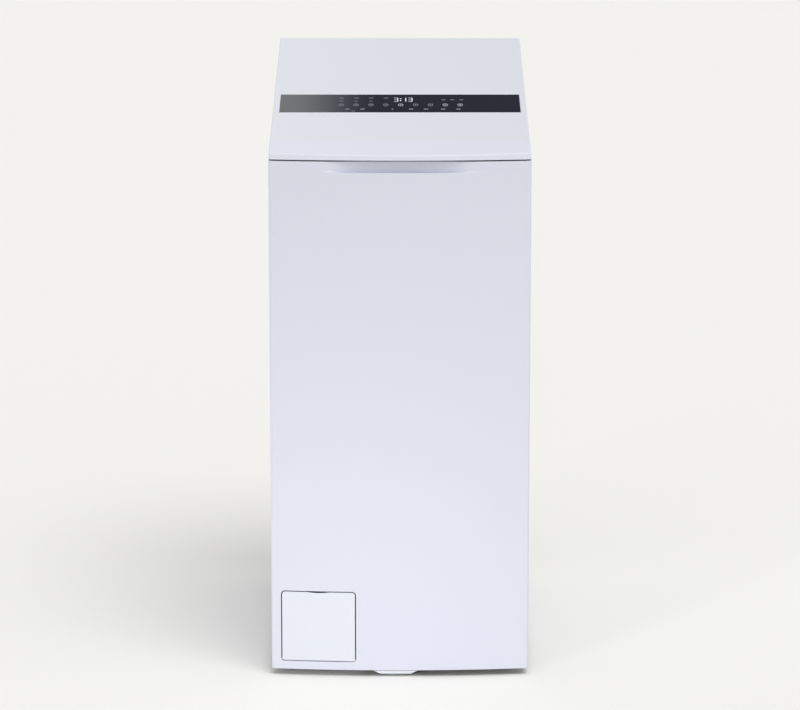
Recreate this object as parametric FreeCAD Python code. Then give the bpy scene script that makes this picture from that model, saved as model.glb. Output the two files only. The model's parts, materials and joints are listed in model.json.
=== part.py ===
import FreeCAD, Part

import math
import os

V = FreeCAD.Vector

# Top load washing machine. Millimetres, +Z up, origin on the floor under the middle of the cabinet,
# front towards -Y. Every function below makes one piece or one group of identical pieces.

# ---- Overall size ----
WIDTH = 400.0
DEPTH = 600.0
FRONT_Y = -DEPTH / 2
REAR_Y = DEPTH / 2
SHEET = 1.0
WALL = 2.5
FIT_GAP = 0.4

# ---- Bowed front of the cabinet and the lid ----
CORNER_R = 5.0
CORNER_Y = -283.0
CORNER_X = WIDTH / 2 - CORNER_R
BOW_RISE = CORNER_Y - FRONT_Y
BOW_R = (CORNER_X**2 + BOW_RISE**2 - CORNER_R**2) / (2 * (BOW_RISE - CORNER_R))
BOW_Y = FRONT_Y + BOW_R
WRAP_Y = -272.0
PANEL_BOTTOM_Z = 10.0
PANEL_TOP_Z = 810.9

# ---- Lid: nose slope, main slope and a round rear end about the hinge axis ----
LID_INSET = 0.7
LID_BOTTOM_Z = 813.1
SEAM_START_Y = -288.0
SEAM_GAP = LID_BOTTOM_Z - PANEL_TOP_Z
NOSE_Z = 820.5
BREAK_Y = -239.0
BREAK_Z = 833.3
LID_SLOPE = math.tan(math.radians(10.05))
LID_REAR_R = 11.0
HINGE_Y = REAR_Y - LID_REAR_R
HINGE_Z = BREAK_Z + LID_SLOPE * (HINGE_Y - BREAK_Y) - LID_REAR_R * math.hypot(1.0, LID_SLOPE)
SEAM_SLOPE = math.tan(
    math.atan2(HINGE_Z - LID_BOTTOM_Z, HINGE_Y - SEAM_START_Y)
    - math.asin(LID_REAR_R / math.hypot(HINGE_Z - LID_BOTTOM_Z, HINGE_Y - SEAM_START_Y))
)
NOSE_SLOPE = (BREAK_Z - NOSE_Z) / (BREAK_Y - FRONT_Y)
HINGE_PIN_X = 164.0
HINGE_PIN_R = 3.0
GLASS_HALF = 188.75
GLASS_FRONT_Y = -99.0
GLASS_REAR_Y = -10.0
GLASS_THICK = 1.6
LINER_RISE = 2.0
LINER_REAR_Y = 276.0
LINER_FRONT_Y = -283.0
LINER_HALF = 195.5
HOOK_X = 150.0
HOOK_Y = -258.0

# ---- Finger recess in the front panel ----
RECESS_HALF = 115.0
RECESS_DEPTH = 12.0
RECESS_BOTTOM_Z = 794.0
RECESS_RISE = RECESS_DEPTH - (BOW_R - math.sqrt(BOW_R**2 - RECESS_HALF**2))
RECESS_R = (RECESS_HALF**2 + RECESS_RISE**2) / (2 * RECESS_RISE)

# ---- Pump door, low on the left ----
DOOR_X0 = -184.0
DOOR_X1 = -67.0
DOOR_Z0 = 23.0
DOOR_Z1 = 137.0
DOOR_CORNER = 5.0
DOOR_FOOT_CORNER = 3.0
DOOR_FOOT_RISE = 20.0
DOOR_GAP = 1.6
DOOR_THICK = 3.0
DOOR_HINGE_RISE = 2.5
DOOR_HINGE_BACK = 3.6
DOOR_PIN_R = 1.0
NOTCH_HALF = 11.0
NOTCH_DEPTH = 3.5
PUMP_X = -125.0
PUMP_Z = 78.0
POCKET_BACK_Y = -264.0

# ---- Cabinet sides and back ----
SIDE_FRONT_Y = -271.4
SIDE_REAR_Y = 297.0
BACK_Y = 290.0
BACK_TOP_Z = 899.0
SIDE_FLANGE = 14.0

# ---- Deck with its chute ----
DECK_DROP = 14.0
DECK_HALF = 197.0
DECK_FRONT_Y = -284.0
DECK_REAR_Y = 285.0
MOUTH_HALF = 118.0
MOUTH_Y0 = -140.0
MOUTH_Y1 = 156.0
MOUTH_CORNER = 25.0
MOUTH_WALL = 3.0
CHUTE_BOTTOM_Z = 776.0
COLLAR_RISE = 8.0
TRAY_HALF = 98.0
TRAY_Y0 = -268.0
TRAY_Y1 = -160.0
TRAY_BOTTOM_Z = 752.0

# ---- Tub and drum, both about one axis along X ----
AXIS_Y = 5.0
AXIS_Z = 480.0
TUB_R = 255.0
TUB_WALL = 5.0
TUB_LEFT_X = -150.0
TUB_RIGHT_X = 145.0
TUB_FLANGE_R = 270.0
NECK_TOP_Z = 752.0
DRUM_R = 230.0
DRUM_HALF = 125.0
DRUM_OPENING_HALF_X = 105.0
DRUM_OPENING_HALF_Y = 122.0
SHAFT_R = 12.45
SHAFT_CLEAR = 0.05
BEARING_R = 26.0
BEARING_WIDTH = 15.0
BEARING_OUTER_FACE = 18.0
PULLEY_R = 140.0
PULLEY_X0 = 170.0
PULLEY_X1 = 186.0
MOTOR_Y = 150.0
MOTOR_Z = 150.0
MOTOR_R = 62.0
MOTOR_PULLEY_R = 10.0
BELT_CLEAR = 0.3
BELT_THICK = 4.0
HEATER_Z = AXIS_Z - DRUM_R - 10.0
FLAP_EDGE = 1.5
FLAP_PIN_R = 3.0

# ---- Suspension ----
HANGER_X = 172.0
HANGER_Y = 200.0
SPRING_LOW_Z = 645.0
SPRING_HIGH_Z = 765.0
SPRING_R = 11.0
SPRING_WIRE_R = 1.6
SPRING_TURNS = 14
DAMPER_R = 11.0
DAMPER_ROD_R = 5.0

# ---- Back: screws, transit-hole caps, water inlet, drain and cable gland ----
SIDES = (-1, 1)
SCREW_POINTS = [(side * 192.0, z) for side in SIDES for z in (40.0, 245.0, 450.0, 655.0, 860.0)]
CAP_POINTS = [(side * 120.0, z) for side in SIDES for z in (300.0, 660.0)]
CAP_R = 14.0
SPIGOT_R = 13.2
INLET_X = -150.0
INLET_Z = 845.0
DRAIN_X = 150.0
DRAIN_Z = 800.0
GLAND_X = -150.0
GLAND_Z = 110.0

# ---- Base, feet and trolley ----
TRAY_FLOOR_Z = 12.0
TRAY_WALL_TOP_Z = 60.0
BASE_FRONT_Y = -262.0
BASE_REAR_Y = 286.0
FOOT_X = 165.0
FOOT_FRONT_Y = -240.0
FOOT_REAR_Y = 255.0
FOOT_PAD_TOP_Z = 8.0
FOOT_NUT_R = 8.5
FOOT_NUT_HEIGHT = 3.5
FOOT_PAD_R = 19.0
FOOT_STUD_R = 5.0
LEVER_X = -7.0
LEVER_PIVOT_Y = -150.0
GRIP_TOP_HALF = 35.0
GRIP_BOTTOM_HALF = 23.5
GRIP_FRONT_Y = -299.2
GRIP_BACK_Y = -290.0
LEVER_Z0 = 4.5
LEVER_Z1 = 9.5
CASTOR_R = 15.0
CASTOR_REST_Z = 3.0
CASTOR_X = 90.0
CASTOR_Y = -150.0


# ---- Shape helpers ----
def block(low, high):
    return Part.makeBox(high[0] - low[0], high[1] - low[1], high[2] - low[2], V(*low))


def rod(radius, start, direction, length):
    return Part.makeCylinder(radius, length, V(*start), V(*direction))


def pipe(outer, inner, start, direction, length):
    return rod(outer, start, direction, length).cut(rod(inner, start, direction, length))


def fuse(shapes):
    first = shapes[0]
    if len(shapes) > 1:
        first = first.fuse(shapes[1:])
    return first.removeSplitter()


def soft_block(low, high, radius, along="z"):
    """A box whose four edges parallel to one axis are rounded."""
    box = block(low, high)
    direction = {"x": V(1, 0, 0), "y": V(0, 1, 0), "z": V(0, 0, 1)}[along]
    edges = [e for e in box.Edges if abs(abs(e.tangentAt(e.FirstParameter).dot(direction)) - 1) < 1e-6]
    return box.makeFillet(radius, edges)


def prism_x(points, x0, x1):
    """A closed outline of (y, z) points, extruded along X."""
    corners = [V(x0, y, z) for y, z in points]
    return Part.Face(Part.makePolygon(corners + corners[:1])).extrude(V(x1 - x0, 0, 0))


def prism_z(points, z0, z1):
    """A closed outline of (x, y) points, extruded along Z."""
    corners = [V(x, y, z0) for x, y in points]
    return Part.Face(Part.makePolygon(corners + corners[:1])).extrude(V(0, 0, z1 - z0))


def bowed_prism(inset, y_back, z0, z1):
    """The cabinet's plan outline, drawn inwards by inset and cut straight at y_back."""
    half = WIDTH / 2 - inset
    reach = math.hypot(CORNER_X, CORNER_Y - BOW_Y)
    out_x = CORNER_X / reach
    out_y = (CORNER_Y - BOW_Y) / reach
    half_way = math.hypot(1 + out_x, out_y)
    middle_x = (1 + out_x) / half_way
    middle_y = out_y / half_way
    corner = CORNER_R - inset
    bow = BOW_R - inset
    touch = [V(side * bow * out_x, BOW_Y + bow * out_y, z0) for side in SIDES]
    start = [V(side * half, CORNER_Y, z0) for side in SIDES]
    middle = [V(side * (CORNER_X + corner * middle_x), CORNER_Y + corner * middle_y, z0) for side in SIDES]
    back = [V(side * half, y_back, z0) for side in SIDES]
    edges = [
        Part.LineSegment(back[0], start[0]).toShape(),
        Part.Arc(start[0], middle[0], touch[0]).toShape(),
        Part.Arc(touch[0], V(0, FRONT_Y + inset, z0), touch[1]).toShape(),
        Part.Arc(touch[1], middle[1], start[1]).toShape(),
        Part.LineSegment(start[1], back[1]).toShape(),
        Part.LineSegment(back[1], back[0]).toShape(),
    ]
    return Part.Face(Part.Wire(edges)).extrude(V(0, 0, z1 - z0))


def bow_y(x):
    """Depth of the front panel's outer face at width x."""
    return BOW_Y - math.sqrt(BOW_R**2 - x**2)


def seam_z(y, rise=0.0):
    """Height of the lid's lower edge at depth y, plus a rise."""
    return LID_BOTTOM_Z + SEAM_SLOPE * (max(y, SEAM_START_Y) - SEAM_START_Y) + rise


def plane_z(y, drop=0.0):
    """Height of the lid's main plane at depth y, less a drop measured square to the plane."""
    return BREAK_Z + LID_SLOPE * (y - BREAK_Y) - drop * math.hypot(1.0, LID_SLOPE)


def nose_z(y, drop=0.0):
    """Height of the lid's nose slope at depth y, less a drop measured square to it."""
    return NOSE_Z + NOSE_SLOPE * (y - FRONT_Y) - drop * math.hypot(1.0, NOSE_SLOPE)


def band_under_seam(y0, y1, low, high, half):
    """A slab parallel to the lid's lower edge, between two rises above that edge."""
    points = [(y0, seam_z(y0, low)), (y1, seam_z(y1, low)), (y1, seam_z(y1, high)), (y0, seam_z(y0, high))]
    return prism_x(points, -half, half)


def mouth_prism(grow, z0, z1):
    """The rounded rectangle of the chute, grown outwards."""
    low = (-MOUTH_HALF - grow, MOUTH_Y0 - grow, z0)
    high = (MOUTH_HALF + grow, MOUTH_Y1 + grow, z1)
    return soft_block(low, high, MOUTH_CORNER + grow)


def drum_rod(radius, x0, x1):
    """A cylinder on the drum's axis."""
    return rod(radius, (x0, AXIS_Y, AXIS_Z), (1, 0, 0), x1 - x0)


def drum_ring(outer, inner, x0, x1):
    return drum_rod(outer, x0, x1).cut(drum_rod(inner, x0, x1))


def corners_of(half_x, half_y, centre_y=0.0):
    return [(sx * half_x, centre_y + sy * half_y) for sx in SIDES for sy in SIDES]


# ---- Cabinet ----
def recess_cutter(thick):
    """Space of the finger recess, grown by thick into the panel."""
    axis_y = FRONT_Y + RECESS_DEPTH - RECESS_R
    return rod(RECESS_R + thick, (0, axis_y, RECESS_BOTTOM_Z - thick), (0, 0, 1), 2 * RECESS_DEPTH + thick)


def door_outline(grow):
    """Block through the front with the door's rounded outline; its two lower corners are tighter."""
    low = V(DOOR_X0 - grow, FRONT_Y - SHEET, DOOR_Z0 - grow)
    high = V(DOOR_X1 + grow, WRAP_Y, DOOR_Z1 + grow)
    foot_high = V(high.x, high.y, low.z + DOOR_FOOT_RISE)
    upper = soft_block(low, high, DOOR_CORNER + grow, "y")
    return fuse([upper, soft_block(low, foot_high, DOOR_FOOT_CORNER + grow, "y")])


def front_panel():
    top = PANEL_TOP_Z
    outer = bowed_prism(0, WRAP_Y, PANEL_BOTTOM_Z, top).cut(recess_cutter(0))
    inner = bowed_prism(SHEET, WRAP_Y + SHEET, PANEL_BOTTOM_Z - SHEET, top + SHEET).cut(recess_cutter(SHEET))
    flanges = []
    for z0 in (PANEL_BOTTOM_Z, top - SHEET):
        flange = bowed_prism(SHEET, WRAP_Y, z0, z0 + SHEET).cut(recess_cutter(SHEET))
        keep_out = block((-WIDTH, DECK_FRONT_Y - SHEET, z0), (WIDTH, 0, z0 + SHEET))
        flanges.append(flange.cut(keep_out))
    return fuse([outer.cut(inner)] + flanges).cut(door_outline(DOOR_GAP))


def side_panel(side):
    def sheet(x_out, x_in, y0, y1, z0):
        points = [(y0, z0), (y1, z0), (y1, seam_z(y1, -SEAM_GAP)), (y0, seam_z(y0, -SEAM_GAP))]
        return prism_x(points, min(side * x_out, side * x_in), max(side * x_out, side * x_in))

    outer = WIDTH / 2
    skin = sheet(outer, outer - SHEET, SIDE_FRONT_Y, SIDE_REAR_Y, PANEL_BOTTOM_Z)
    rear = sheet(outer - SHEET, outer - SIDE_FLANGE, BACK_Y - SHEET, BACK_Y, PANEL_BOTTOM_Z)
    rear = rear.common(block((-WIDTH, 0, 0), (WIDTH, REAR_Y, BACK_TOP_Z)))
    foot_x = sorted((side * (outer - SHEET), side * (outer - SIDE_FLANGE / 2)))
    foot = block((foot_x[0], SIDE_FRONT_Y, PANEL_BOTTOM_Z), (foot_x[1], BACK_Y, PANEL_BOTTOM_Z + SHEET))
    panel = fuse([skin, rear, foot])
    for x, z in SCREW_POINTS:
        panel = panel.cut(rod(2.2, (x, BACK_Y - 3 * SHEET, z), (0, 1, 0), 5 * SHEET))
    return panel


def back_panel():
    front = BACK_Y
    rear = BACK_Y + SHEET
    bead = 3.0
    plate = block((-198.0, front, PANEL_BOTTOM_Z + SHEET), (198.0, rear, BACK_TOP_Z))
    field_low = (-150.0, front, 180.0)
    field_high = (150.0, rear + bead, 780.0)
    plate = plate.fuse(soft_block(field_low, field_high, 30.0, "y"))
    hollow = soft_block((-149.0, front - SHEET, 181.0), (149.0, rear + bead - SHEET, 779.0), 29.0, "y")
    plate = plate.cut(hollow)
    for z in (60.0, 110.0, 820.0, 860.0):
        rib = soft_block((-100.0, front, z - 8.0), (100.0, rear + bead, z + 8.0), 7.5, "y")
        groove = soft_block((-99.0, front - SHEET, z - 7.0), (99.0, rear + bead - SHEET, z + 7.0), 6.5, "y")
        plate = plate.fuse(rib).cut(groove)
    for x, z in SCREW_POINTS:
        plate = plate.cut(rod(2.2, (x, front - SHEET, z), (0, 1, 0), 5 * SHEET))
    for x, z in CAP_POINTS:
        plate = plate.cut(rod(CAP_R - 3.0, (x, front - SHEET, z), (0, 1, 0), 10 * SHEET))
    plate = plate.cut(rod(SPIGOT_R + 2.0, (INLET_X, front - SHEET, INLET_Z), (0, 1, 0), 5 * SHEET))
    plate = plate.cut(rod(SPIGOT_R + 2.0, (DRAIN_X, front - SHEET, DRAIN_Z), (0, 1, 0), 5 * SHEET))
    plate = plate.cut(rod(10.0, (GLAND_X, front - SHEET, GLAND_Z), (0, 1, 0), 5 * SHEET))
    return plate.removeSplitter()


def back_panel_screws():
    screws = []
    for x, z in SCREW_POINTS:
        shank = rod(2.0, (x, BACK_Y - 3.0, z), (0, 1, 0), 4.5)
        head = rod(4.5, (x, BACK_Y + SHEET, z), (0, 1, 0), 2.6)
        head = head.makeFillet(1.2, [head.Edges[0]])
        slot = block((x - 3.5, BACK_Y + 2.8, z - 0.5), (x + 3.5, BACK_Y + 4.0, z + 0.5))
        cross = block((x - 0.5, BACK_Y + 2.8, z - 3.5), (x + 0.5, BACK_Y + 4.0, z + 3.5))
        screws.append(shank.fuse(head).cut(slot).cut(cross).removeSplitter())
    return Part.makeCompound(screws)


def transit_hole_caps():
    caps = []
    face = BACK_Y + SHEET + 3.0
    for x, z in CAP_POINTS:
        disc = Part.makeCone(CAP_R, CAP_R - 3.0, 2.5, V(x, face, z), V(0, 1, 0))
        plug = pipe(CAP_R - 3.2, CAP_R - 5.2, (x, face - 9.0, z), (0, 1, 0), 9.0)
        caps.append(disc.fuse(plug).removeSplitter())
    return Part.makeCompound(caps)


def base_tray():
    low = (-197.0, BASE_FRONT_Y, TRAY_FLOOR_Z)
    high = (197.0, BASE_REAR_Y, TRAY_WALL_TOP_Z)
    body = soft_block(low, high, 12.0)
    inner_low = (-194.0, BASE_FRONT_Y + 3, TRAY_FLOOR_Z + 3)
    body = body.cut(soft_block(inner_low, (194.0, BASE_REAR_Y - 3, 80.0), 9.0))
    parts = [body]
    for side in SIDES:
        for y in (FOOT_FRONT_Y, FOOT_REAR_Y):
            parts.append(rod(12.0, (side * FOOT_X, y, TRAY_FLOOR_Z), (0, 0, 1), 28.0))
    for x, y in corners_of(HANGER_X, HANGER_Y):
        parts.append(rod(9.0, (x, y, TRAY_FLOOR_Z), (0, 0, 1), 18.0))
    parts.append(rod(12.0, (LEVER_X, LEVER_PIVOT_Y, TRAY_FLOOR_Z), (0, 0, 1), 8.0))
    tray = fuse(parts)
    for side in SIDES:
        for y in (FOOT_FRONT_Y, FOOT_REAR_Y):
            tray = tray.cut(rod(FOOT_STUD_R + 0.06, (side * FOOT_X, y, 0), (0, 0, 1), 60.0))
        wheel_x = side * CASTOR_X
        wheel_slot = block((wheel_x - 14, CASTOR_Y - 20, 0), (wheel_x + 14, CASTOR_Y + 20, 20))
        tray = tray.cut(wheel_slot)
    tray = tray.cut(rod(5.06, (LEVER_X, LEVER_PIVOT_Y, 0), (0, 0, 1), 60.0))
    tray = tray.cut(rod(34.0, (PUMP_X, BASE_FRONT_Y - 1, PUMP_Z), (0, 1, 0), 5.0))
    return tray


def foot(x, y, stud_top):
    pad = Part.makeCone(FOOT_PAD_R, FOOT_PAD_R - 3.0, FOOT_PAD_TOP_Z, V(x, y, 0))
    stud = rod(FOOT_STUD_R, (x, y, FOOT_PAD_TOP_Z), (0, 0, 1), stud_top - FOOT_PAD_TOP_Z)
    turns = [k * math.pi / 3 for k in range(6)]
    flats = [(x + FOOT_NUT_R * math.cos(turn), y + FOOT_NUT_R * math.sin(turn)) for turn in turns]
    nut = prism_z(flats, FOOT_PAD_TOP_Z, FOOT_PAD_TOP_Z + FOOT_NUT_HEIGHT)
    return fuse([pad, stud, nut])


def rear_feet():
    return Part.makeCompound([foot(side * FOOT_X, FOOT_REAR_Y, 38.0) for side in SIDES])


def filter_recess():
    x0 = DOOR_X0 - 4.0
    x1 = DOOR_X1 + 5.0
    outer = block((x0, FRONT_Y, DOOR_Z0 - 6.0), (x1, POCKET_BACK_Y, DOOR_Z1 + 6.0))
    inner = block((x0 + 2, FRONT_Y - 1, DOOR_Z0 - 4.0), (x1 - 2, POCKET_BACK_Y - 2, DOOR_Z1 + 4.0))
    pocket = outer.common(bowed_prism(SHEET + 0.2, WRAP_Y + 20, 0, 200.0)).cut(inner)
    pocket = pocket.cut(rod(31.0, (PUMP_X, POCKET_BACK_Y - 5, PUMP_Z), (0, 1, 0), 10.0))
    pin = hinge_pin_of_door(DOOR_PIN_R + 0.06)
    return pocket.cut(pin)


def top_deck():
    plate = band_under_seam(DECK_FRONT_Y, DECK_REAR_Y, -DECK_DROP - 3.0, -DECK_DROP, DECK_HALF)
    rim = band_under_seam(DECK_FRONT_Y, DECK_REAR_Y, -DECK_DROP - 3.0, -SEAM_GAP - 1.0, DECK_HALF)
    core = block((-DECK_HALF + WALL, DECK_FRONT_Y + WALL, 700), (DECK_HALF - WALL, DECK_REAR_Y - WALL, 1000))
    chute = mouth_prism(MOUTH_WALL, CHUTE_BOTTOM_Z, 1000.0)
    under_collar = band_under_seam(DECK_FRONT_Y, DECK_REAR_Y, -200.0, -DECK_DROP + COLLAR_RISE, DECK_HALF)
    deck = fuse([plate, rim.cut(core), chute.common(under_collar)])
    deck = deck.cut(mouth_prism(0, CHUTE_BOTTOM_Z - 1, 1000.0))
    deck = deck.cut(block((-TRAY_HALF - 1, TRAY_Y0 - 1, 700), (TRAY_HALF + 1, TRAY_Y1 + 1, 1000)))
    deck = deck.cut(block((HOOK_X - 5, HOOK_Y - 18, 700), (HOOK_X + 5, HOOK_Y + 10, 1000)))
    return deck


def dispenser_tray():
    rise = -DECK_DROP
    outer = block((-TRAY_HALF, TRAY_Y0, TRAY_BOTTOM_Z), (TRAY_HALF, TRAY_Y1, 1000))
    outer = outer.common(band_under_seam(TRAY_Y0, TRAY_Y1, -200.0, rise, TRAY_HALF))
    lip = band_under_seam(TRAY_Y0 - 5, TRAY_Y1 + 5, rise, rise + WALL, TRAY_HALF + 5)
    tray = outer.fuse(lip)
    walls = (-TRAY_HALF, -28.0, 36.0, TRAY_HALF)
    for left, right in zip(walls[:-1], walls[1:]):
        low = (left + WALL, TRAY_Y0 + WALL, TRAY_BOTTOM_Z + WALL)
        high = (right - WALL, TRAY_Y1 - WALL, 1000)
        tray = tray.cut(soft_block(low, high, 6.0))
    siphon = pipe(8.0, 5.0, (68.0, -214.0, TRAY_BOTTOM_Z + WALL), (0, 0, 1), 34.0)
    return fuse([tray, siphon])


def lid_lock():
    body = block((HOOK_X - 20, HOOK_Y - 20, 745), (HOOK_X + 20, HOOK_Y + 14, 793))
    body = body.cut(block((HOOK_X - 4, HOOK_Y - 18, 765), (HOOK_X + 4, HOOK_Y + 10, 800)))
    channel = block((HOOK_X, HOOK_Y - 3.4, 777.6), (HOOK_X + 18.5, HOOK_Y + 3.4, 784.4))
    return body.cut(channel)


def lock_bolt():
    return block((HOOK_X + 5.5, HOOK_Y - 3.0, 778.0), (HOOK_X + 17.5, HOOK_Y + 3.0, 784.0))


def suspension_brackets():
    brackets = []
    for x, y in corners_of(HANGER_X, HANGER_Y):
        side = math.copysign(1, x)
        wall = sorted((side * (WIDTH / 2 - SHEET), side * (WIDTH / 2 - SHEET - 3)))
        back = block((wall[0], y - 18, 735), (wall[1], y + 18, 790))
        arm_x = sorted((side * (WIDTH / 2 - SHEET - 3), side * (HANGER_X - 14)))
        arm = block((arm_x[0], y - 14, SPRING_HIGH_Z), (arm_x[1], y + 14, SPRING_HIGH_Z + 4))
        brackets.append(fuse([back, arm]))
    return Part.makeCompound(brackets)


def hinge_brackets():
    brackets = []
    for side in SIDES:
        x = side * HINGE_PIN_X
        eye = rod(6.0, (x - 4, HINGE_Y, HINGE_Z), (1, 0, 0), 8.0)
        stem = block((x - 4, BACK_Y - 3, 868), (x + 4, BACK_Y, HINGE_Z))
        foot_plate = block((x - 12, BACK_Y - 3, 868), (x + 12, BACK_Y, 890))
        arm = fuse([eye, stem, foot_plate])
        brackets.append(arm.cut(rod(3.05, (x - 5, HINGE_Y, HINGE_Z), (1, 0, 0), 10.0)))
    return Part.makeCompound(brackets)


def inlet_valve():
    y0 = BACK_Y - 1
    spigot = rod(SPIGOT_R, (INLET_X, y0 - 20, INLET_Z), (0, 1, 0), 29.0)
    flange = rod(SPIGOT_R + 6, (INLET_X, y0 - 4, INLET_Z), (0, 1, 0), 4.0)
    body = soft_block((INLET_X - 18, y0 - 55, INLET_Z - 14), (INLET_X + 18, y0 - 20, INLET_Z + 14), 4.0, "y")
    coil = rod(12.0, (INLET_X, y0 - 38, INLET_Z - 44), (0, 0, 1), 30.0)
    outlet = rod(5.0, (INLET_X, y0 - 75, INLET_Z), (0, 1, 0), 20.0)
    valve = fuse([spigot, flange, body, coil, outlet])
    return valve.cut(rod(9.0, (INLET_X, y0 - 10, INLET_Z), (0, 1, 0), 30.0))


def drain_outlet():
    y0 = BACK_Y - 1
    spigot = rod(10.0, (DRAIN_X, y0 - 30, DRAIN_Z), (0, 1, 0), 38.0)
    flange = rod(SPIGOT_R + 6, (DRAIN_X, y0 - 3, DRAIN_Z), (0, 1, 0), 3.0)
    elbow = rod(12.0, (DRAIN_X, y0 - 30, DRAIN_Z - 40), (0, 0, 1), 52.0)
    outlet = fuse([spigot, flange, elbow])
    return outlet.cut(rod(7.5, (DRAIN_X, y0 - 25, DRAIN_Z), (0, 1, 0), 40.0))


def cable_gland():
    y0 = BACK_Y + SHEET
    flange = rod(13.0, (GLAND_X, y0, GLAND_Z), (0, 1, 0), 3.0)
    barrel = rod(9.8, (GLAND_X, y0 - 12, GLAND_Z), (0, 1, 0), 12.0)
    return fuse([flange, barrel]).cut(rod(4.5, (GLAND_X, y0 - 15, GLAND_Z), (0, 1, 0), 25.0))


def control_module():
    case = soft_block((-60, 205, 775), (120, 262, 845), 5.0, "x")
    return case.cut(soft_block((-58, 207, 777), (118, 260, 843), 4.0, "x"))


def pressure_switch():
    can = rod(24.0, (-100.0, 235.0, 800.0), (0, 0, 1), 18.0)
    cap = rod(16.0, (-100.0, 235.0, 818.0), (0, 0, 1), 12.0)
    port = rod(3.0, (-100.0, 235.0, 785.0), (0, 0, 1), 15.0)
    return fuse([can, cap, port])


def pump_body():
    def along(radius, y0, y1):
        return rod(radius, (PUMP_X, y0, PUMP_Z), (0, 1, 0), y1 - y0)

    shell = fuse([along(33, -261, -190), along(38, -192, -150), along(28, -150, -90)])
    inlet = pipe(18, 15, (PUMP_X, -225, PUMP_Z + 28), (0, 0, 1), 32)
    outlet = pipe(11, 8, (PUMP_X + 30, -172, PUMP_Z + 15), (0, 0, 1), 50)
    shell = fuse([shell, inlet, outlet])
    shell = shell.cut(along(30, -262, -194)).cut(along(35, -188, -154)).cut(along(6, -155, -100))
    shell = shell.cut(along(12, -195, -187))
    return shell.cut(rod(15, (PUMP_X, -225, PUMP_Z), (0, 0, 1), 80))


def pump_impeller():
    y0 = -186.0
    hub = rod(8.0, (PUMP_X, y0, PUMP_Z), (0, 1, 0), 24.0)
    shaft = rod(5.94, (PUMP_X, y0, PUMP_Z), (0, 1, 0), 70.0)
    blades = []
    for k in range(6):
        blade = block((PUMP_X - 1, y0, PUMP_Z), (PUMP_X + 1, y0 + 22, PUMP_Z + 30))
        blade.rotate(V(PUMP_X, 0, PUMP_Z), V(0, 1, 0), k * 60.0)
        blades.append(blade)
    return fuse([hub, shaft] + blades)


def filter_knob():
    face = rod(29.0, (PUMP_X, -276, PUMP_Z), (0, 1, 0), 8.0)
    grip = soft_block((PUMP_X - 5, -286, PUMP_Z - 23), (PUMP_X + 5, -275, PUMP_Z + 23), 3.0, "x")
    neck = rod(29.6, (PUMP_X, -261.5, PUMP_Z), (0, 1, 0), 8.0)
    stem = rod(29.0, (PUMP_X, -268, PUMP_Z), (0, 1, 0), 7.0)
    basket = pipe(26.0, 24.0, (PUMP_X, -256, PUMP_Z), (0, 1, 0), 52.0)
    knob = fuse([face, grip, neck, stem, basket])
    slots = []
    for k in range(4):
        slot = block((PUMP_X - 5, -248, PUMP_Z + 15), (PUMP_X + 5, -210, PUMP_Z + 30))
        slot.rotate(V(PUMP_X, 0, PUMP_Z), V(0, 1, 0), k * 90.0)
        slots.append(slot)
    return knob.cut(slots)


# ---- Pump door ----
def door_frame():
    """Hinge point at the door's middle and the direction along its bottom edge."""
    middle_x = (DOOR_X0 + DOOR_X1) / 2
    angle = math.asin(middle_x / BOW_R)
    out = V(math.sin(angle), -math.cos(angle), 0)
    along = V(math.cos(angle), math.sin(angle), 0)
    surface = V(middle_x, bow_y(middle_x), DOOR_Z0 + DOOR_HINGE_RISE)
    return surface - out * DOOR_HINGE_BACK, along


def hinge_pin_of_door(radius):
    point, along = door_frame()
    half = (DOOR_X1 - DOOR_X0) / 2 + 4.6
    start = point - along * half
    return Part.makeCylinder(radius, 2 * half, start, along)


def pump_door():
    skin = door_outline(0).common(bowed_prism(0, WRAP_Y, 0, 200))
    skin = skin.cut(bowed_prism(DOOR_THICK, WRAP_Y + 1, -1, 201))
    notch = block(((DOOR_X0 + DOOR_X1) / 2 - NOTCH_HALF, FRONT_Y - 1, DOOR_Z1 - NOTCH_DEPTH),
                  ((DOOR_X0 + DOOR_X1) / 2 + NOTCH_HALF, WRAP_Y, DOOR_Z1 + 1))
    point, along = door_frame()
    barrel_half = (DOOR_X1 - DOOR_X0) / 2 - 1.0
    barrel = Part.makeCylinder(2.2, 2 * barrel_half, point - along * barrel_half, along)
    body = fuse([skin.cut(notch), barrel, hinge_pin_of_door(DOOR_PIN_R)])
    cut_start = point - along * (barrel_half + 10)
    edge_cut = Part.makeCylinder(DOOR_HINGE_BACK, 2 * barrel_half + 20, cut_start, along)
    corner = block((DOOR_X0 - 9, FRONT_Y - 2, DOOR_Z0 - 1), (DOOR_X1 + 9, point.y, point.z)).cut(edge_cut)
    return body.cut(corner)


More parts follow.
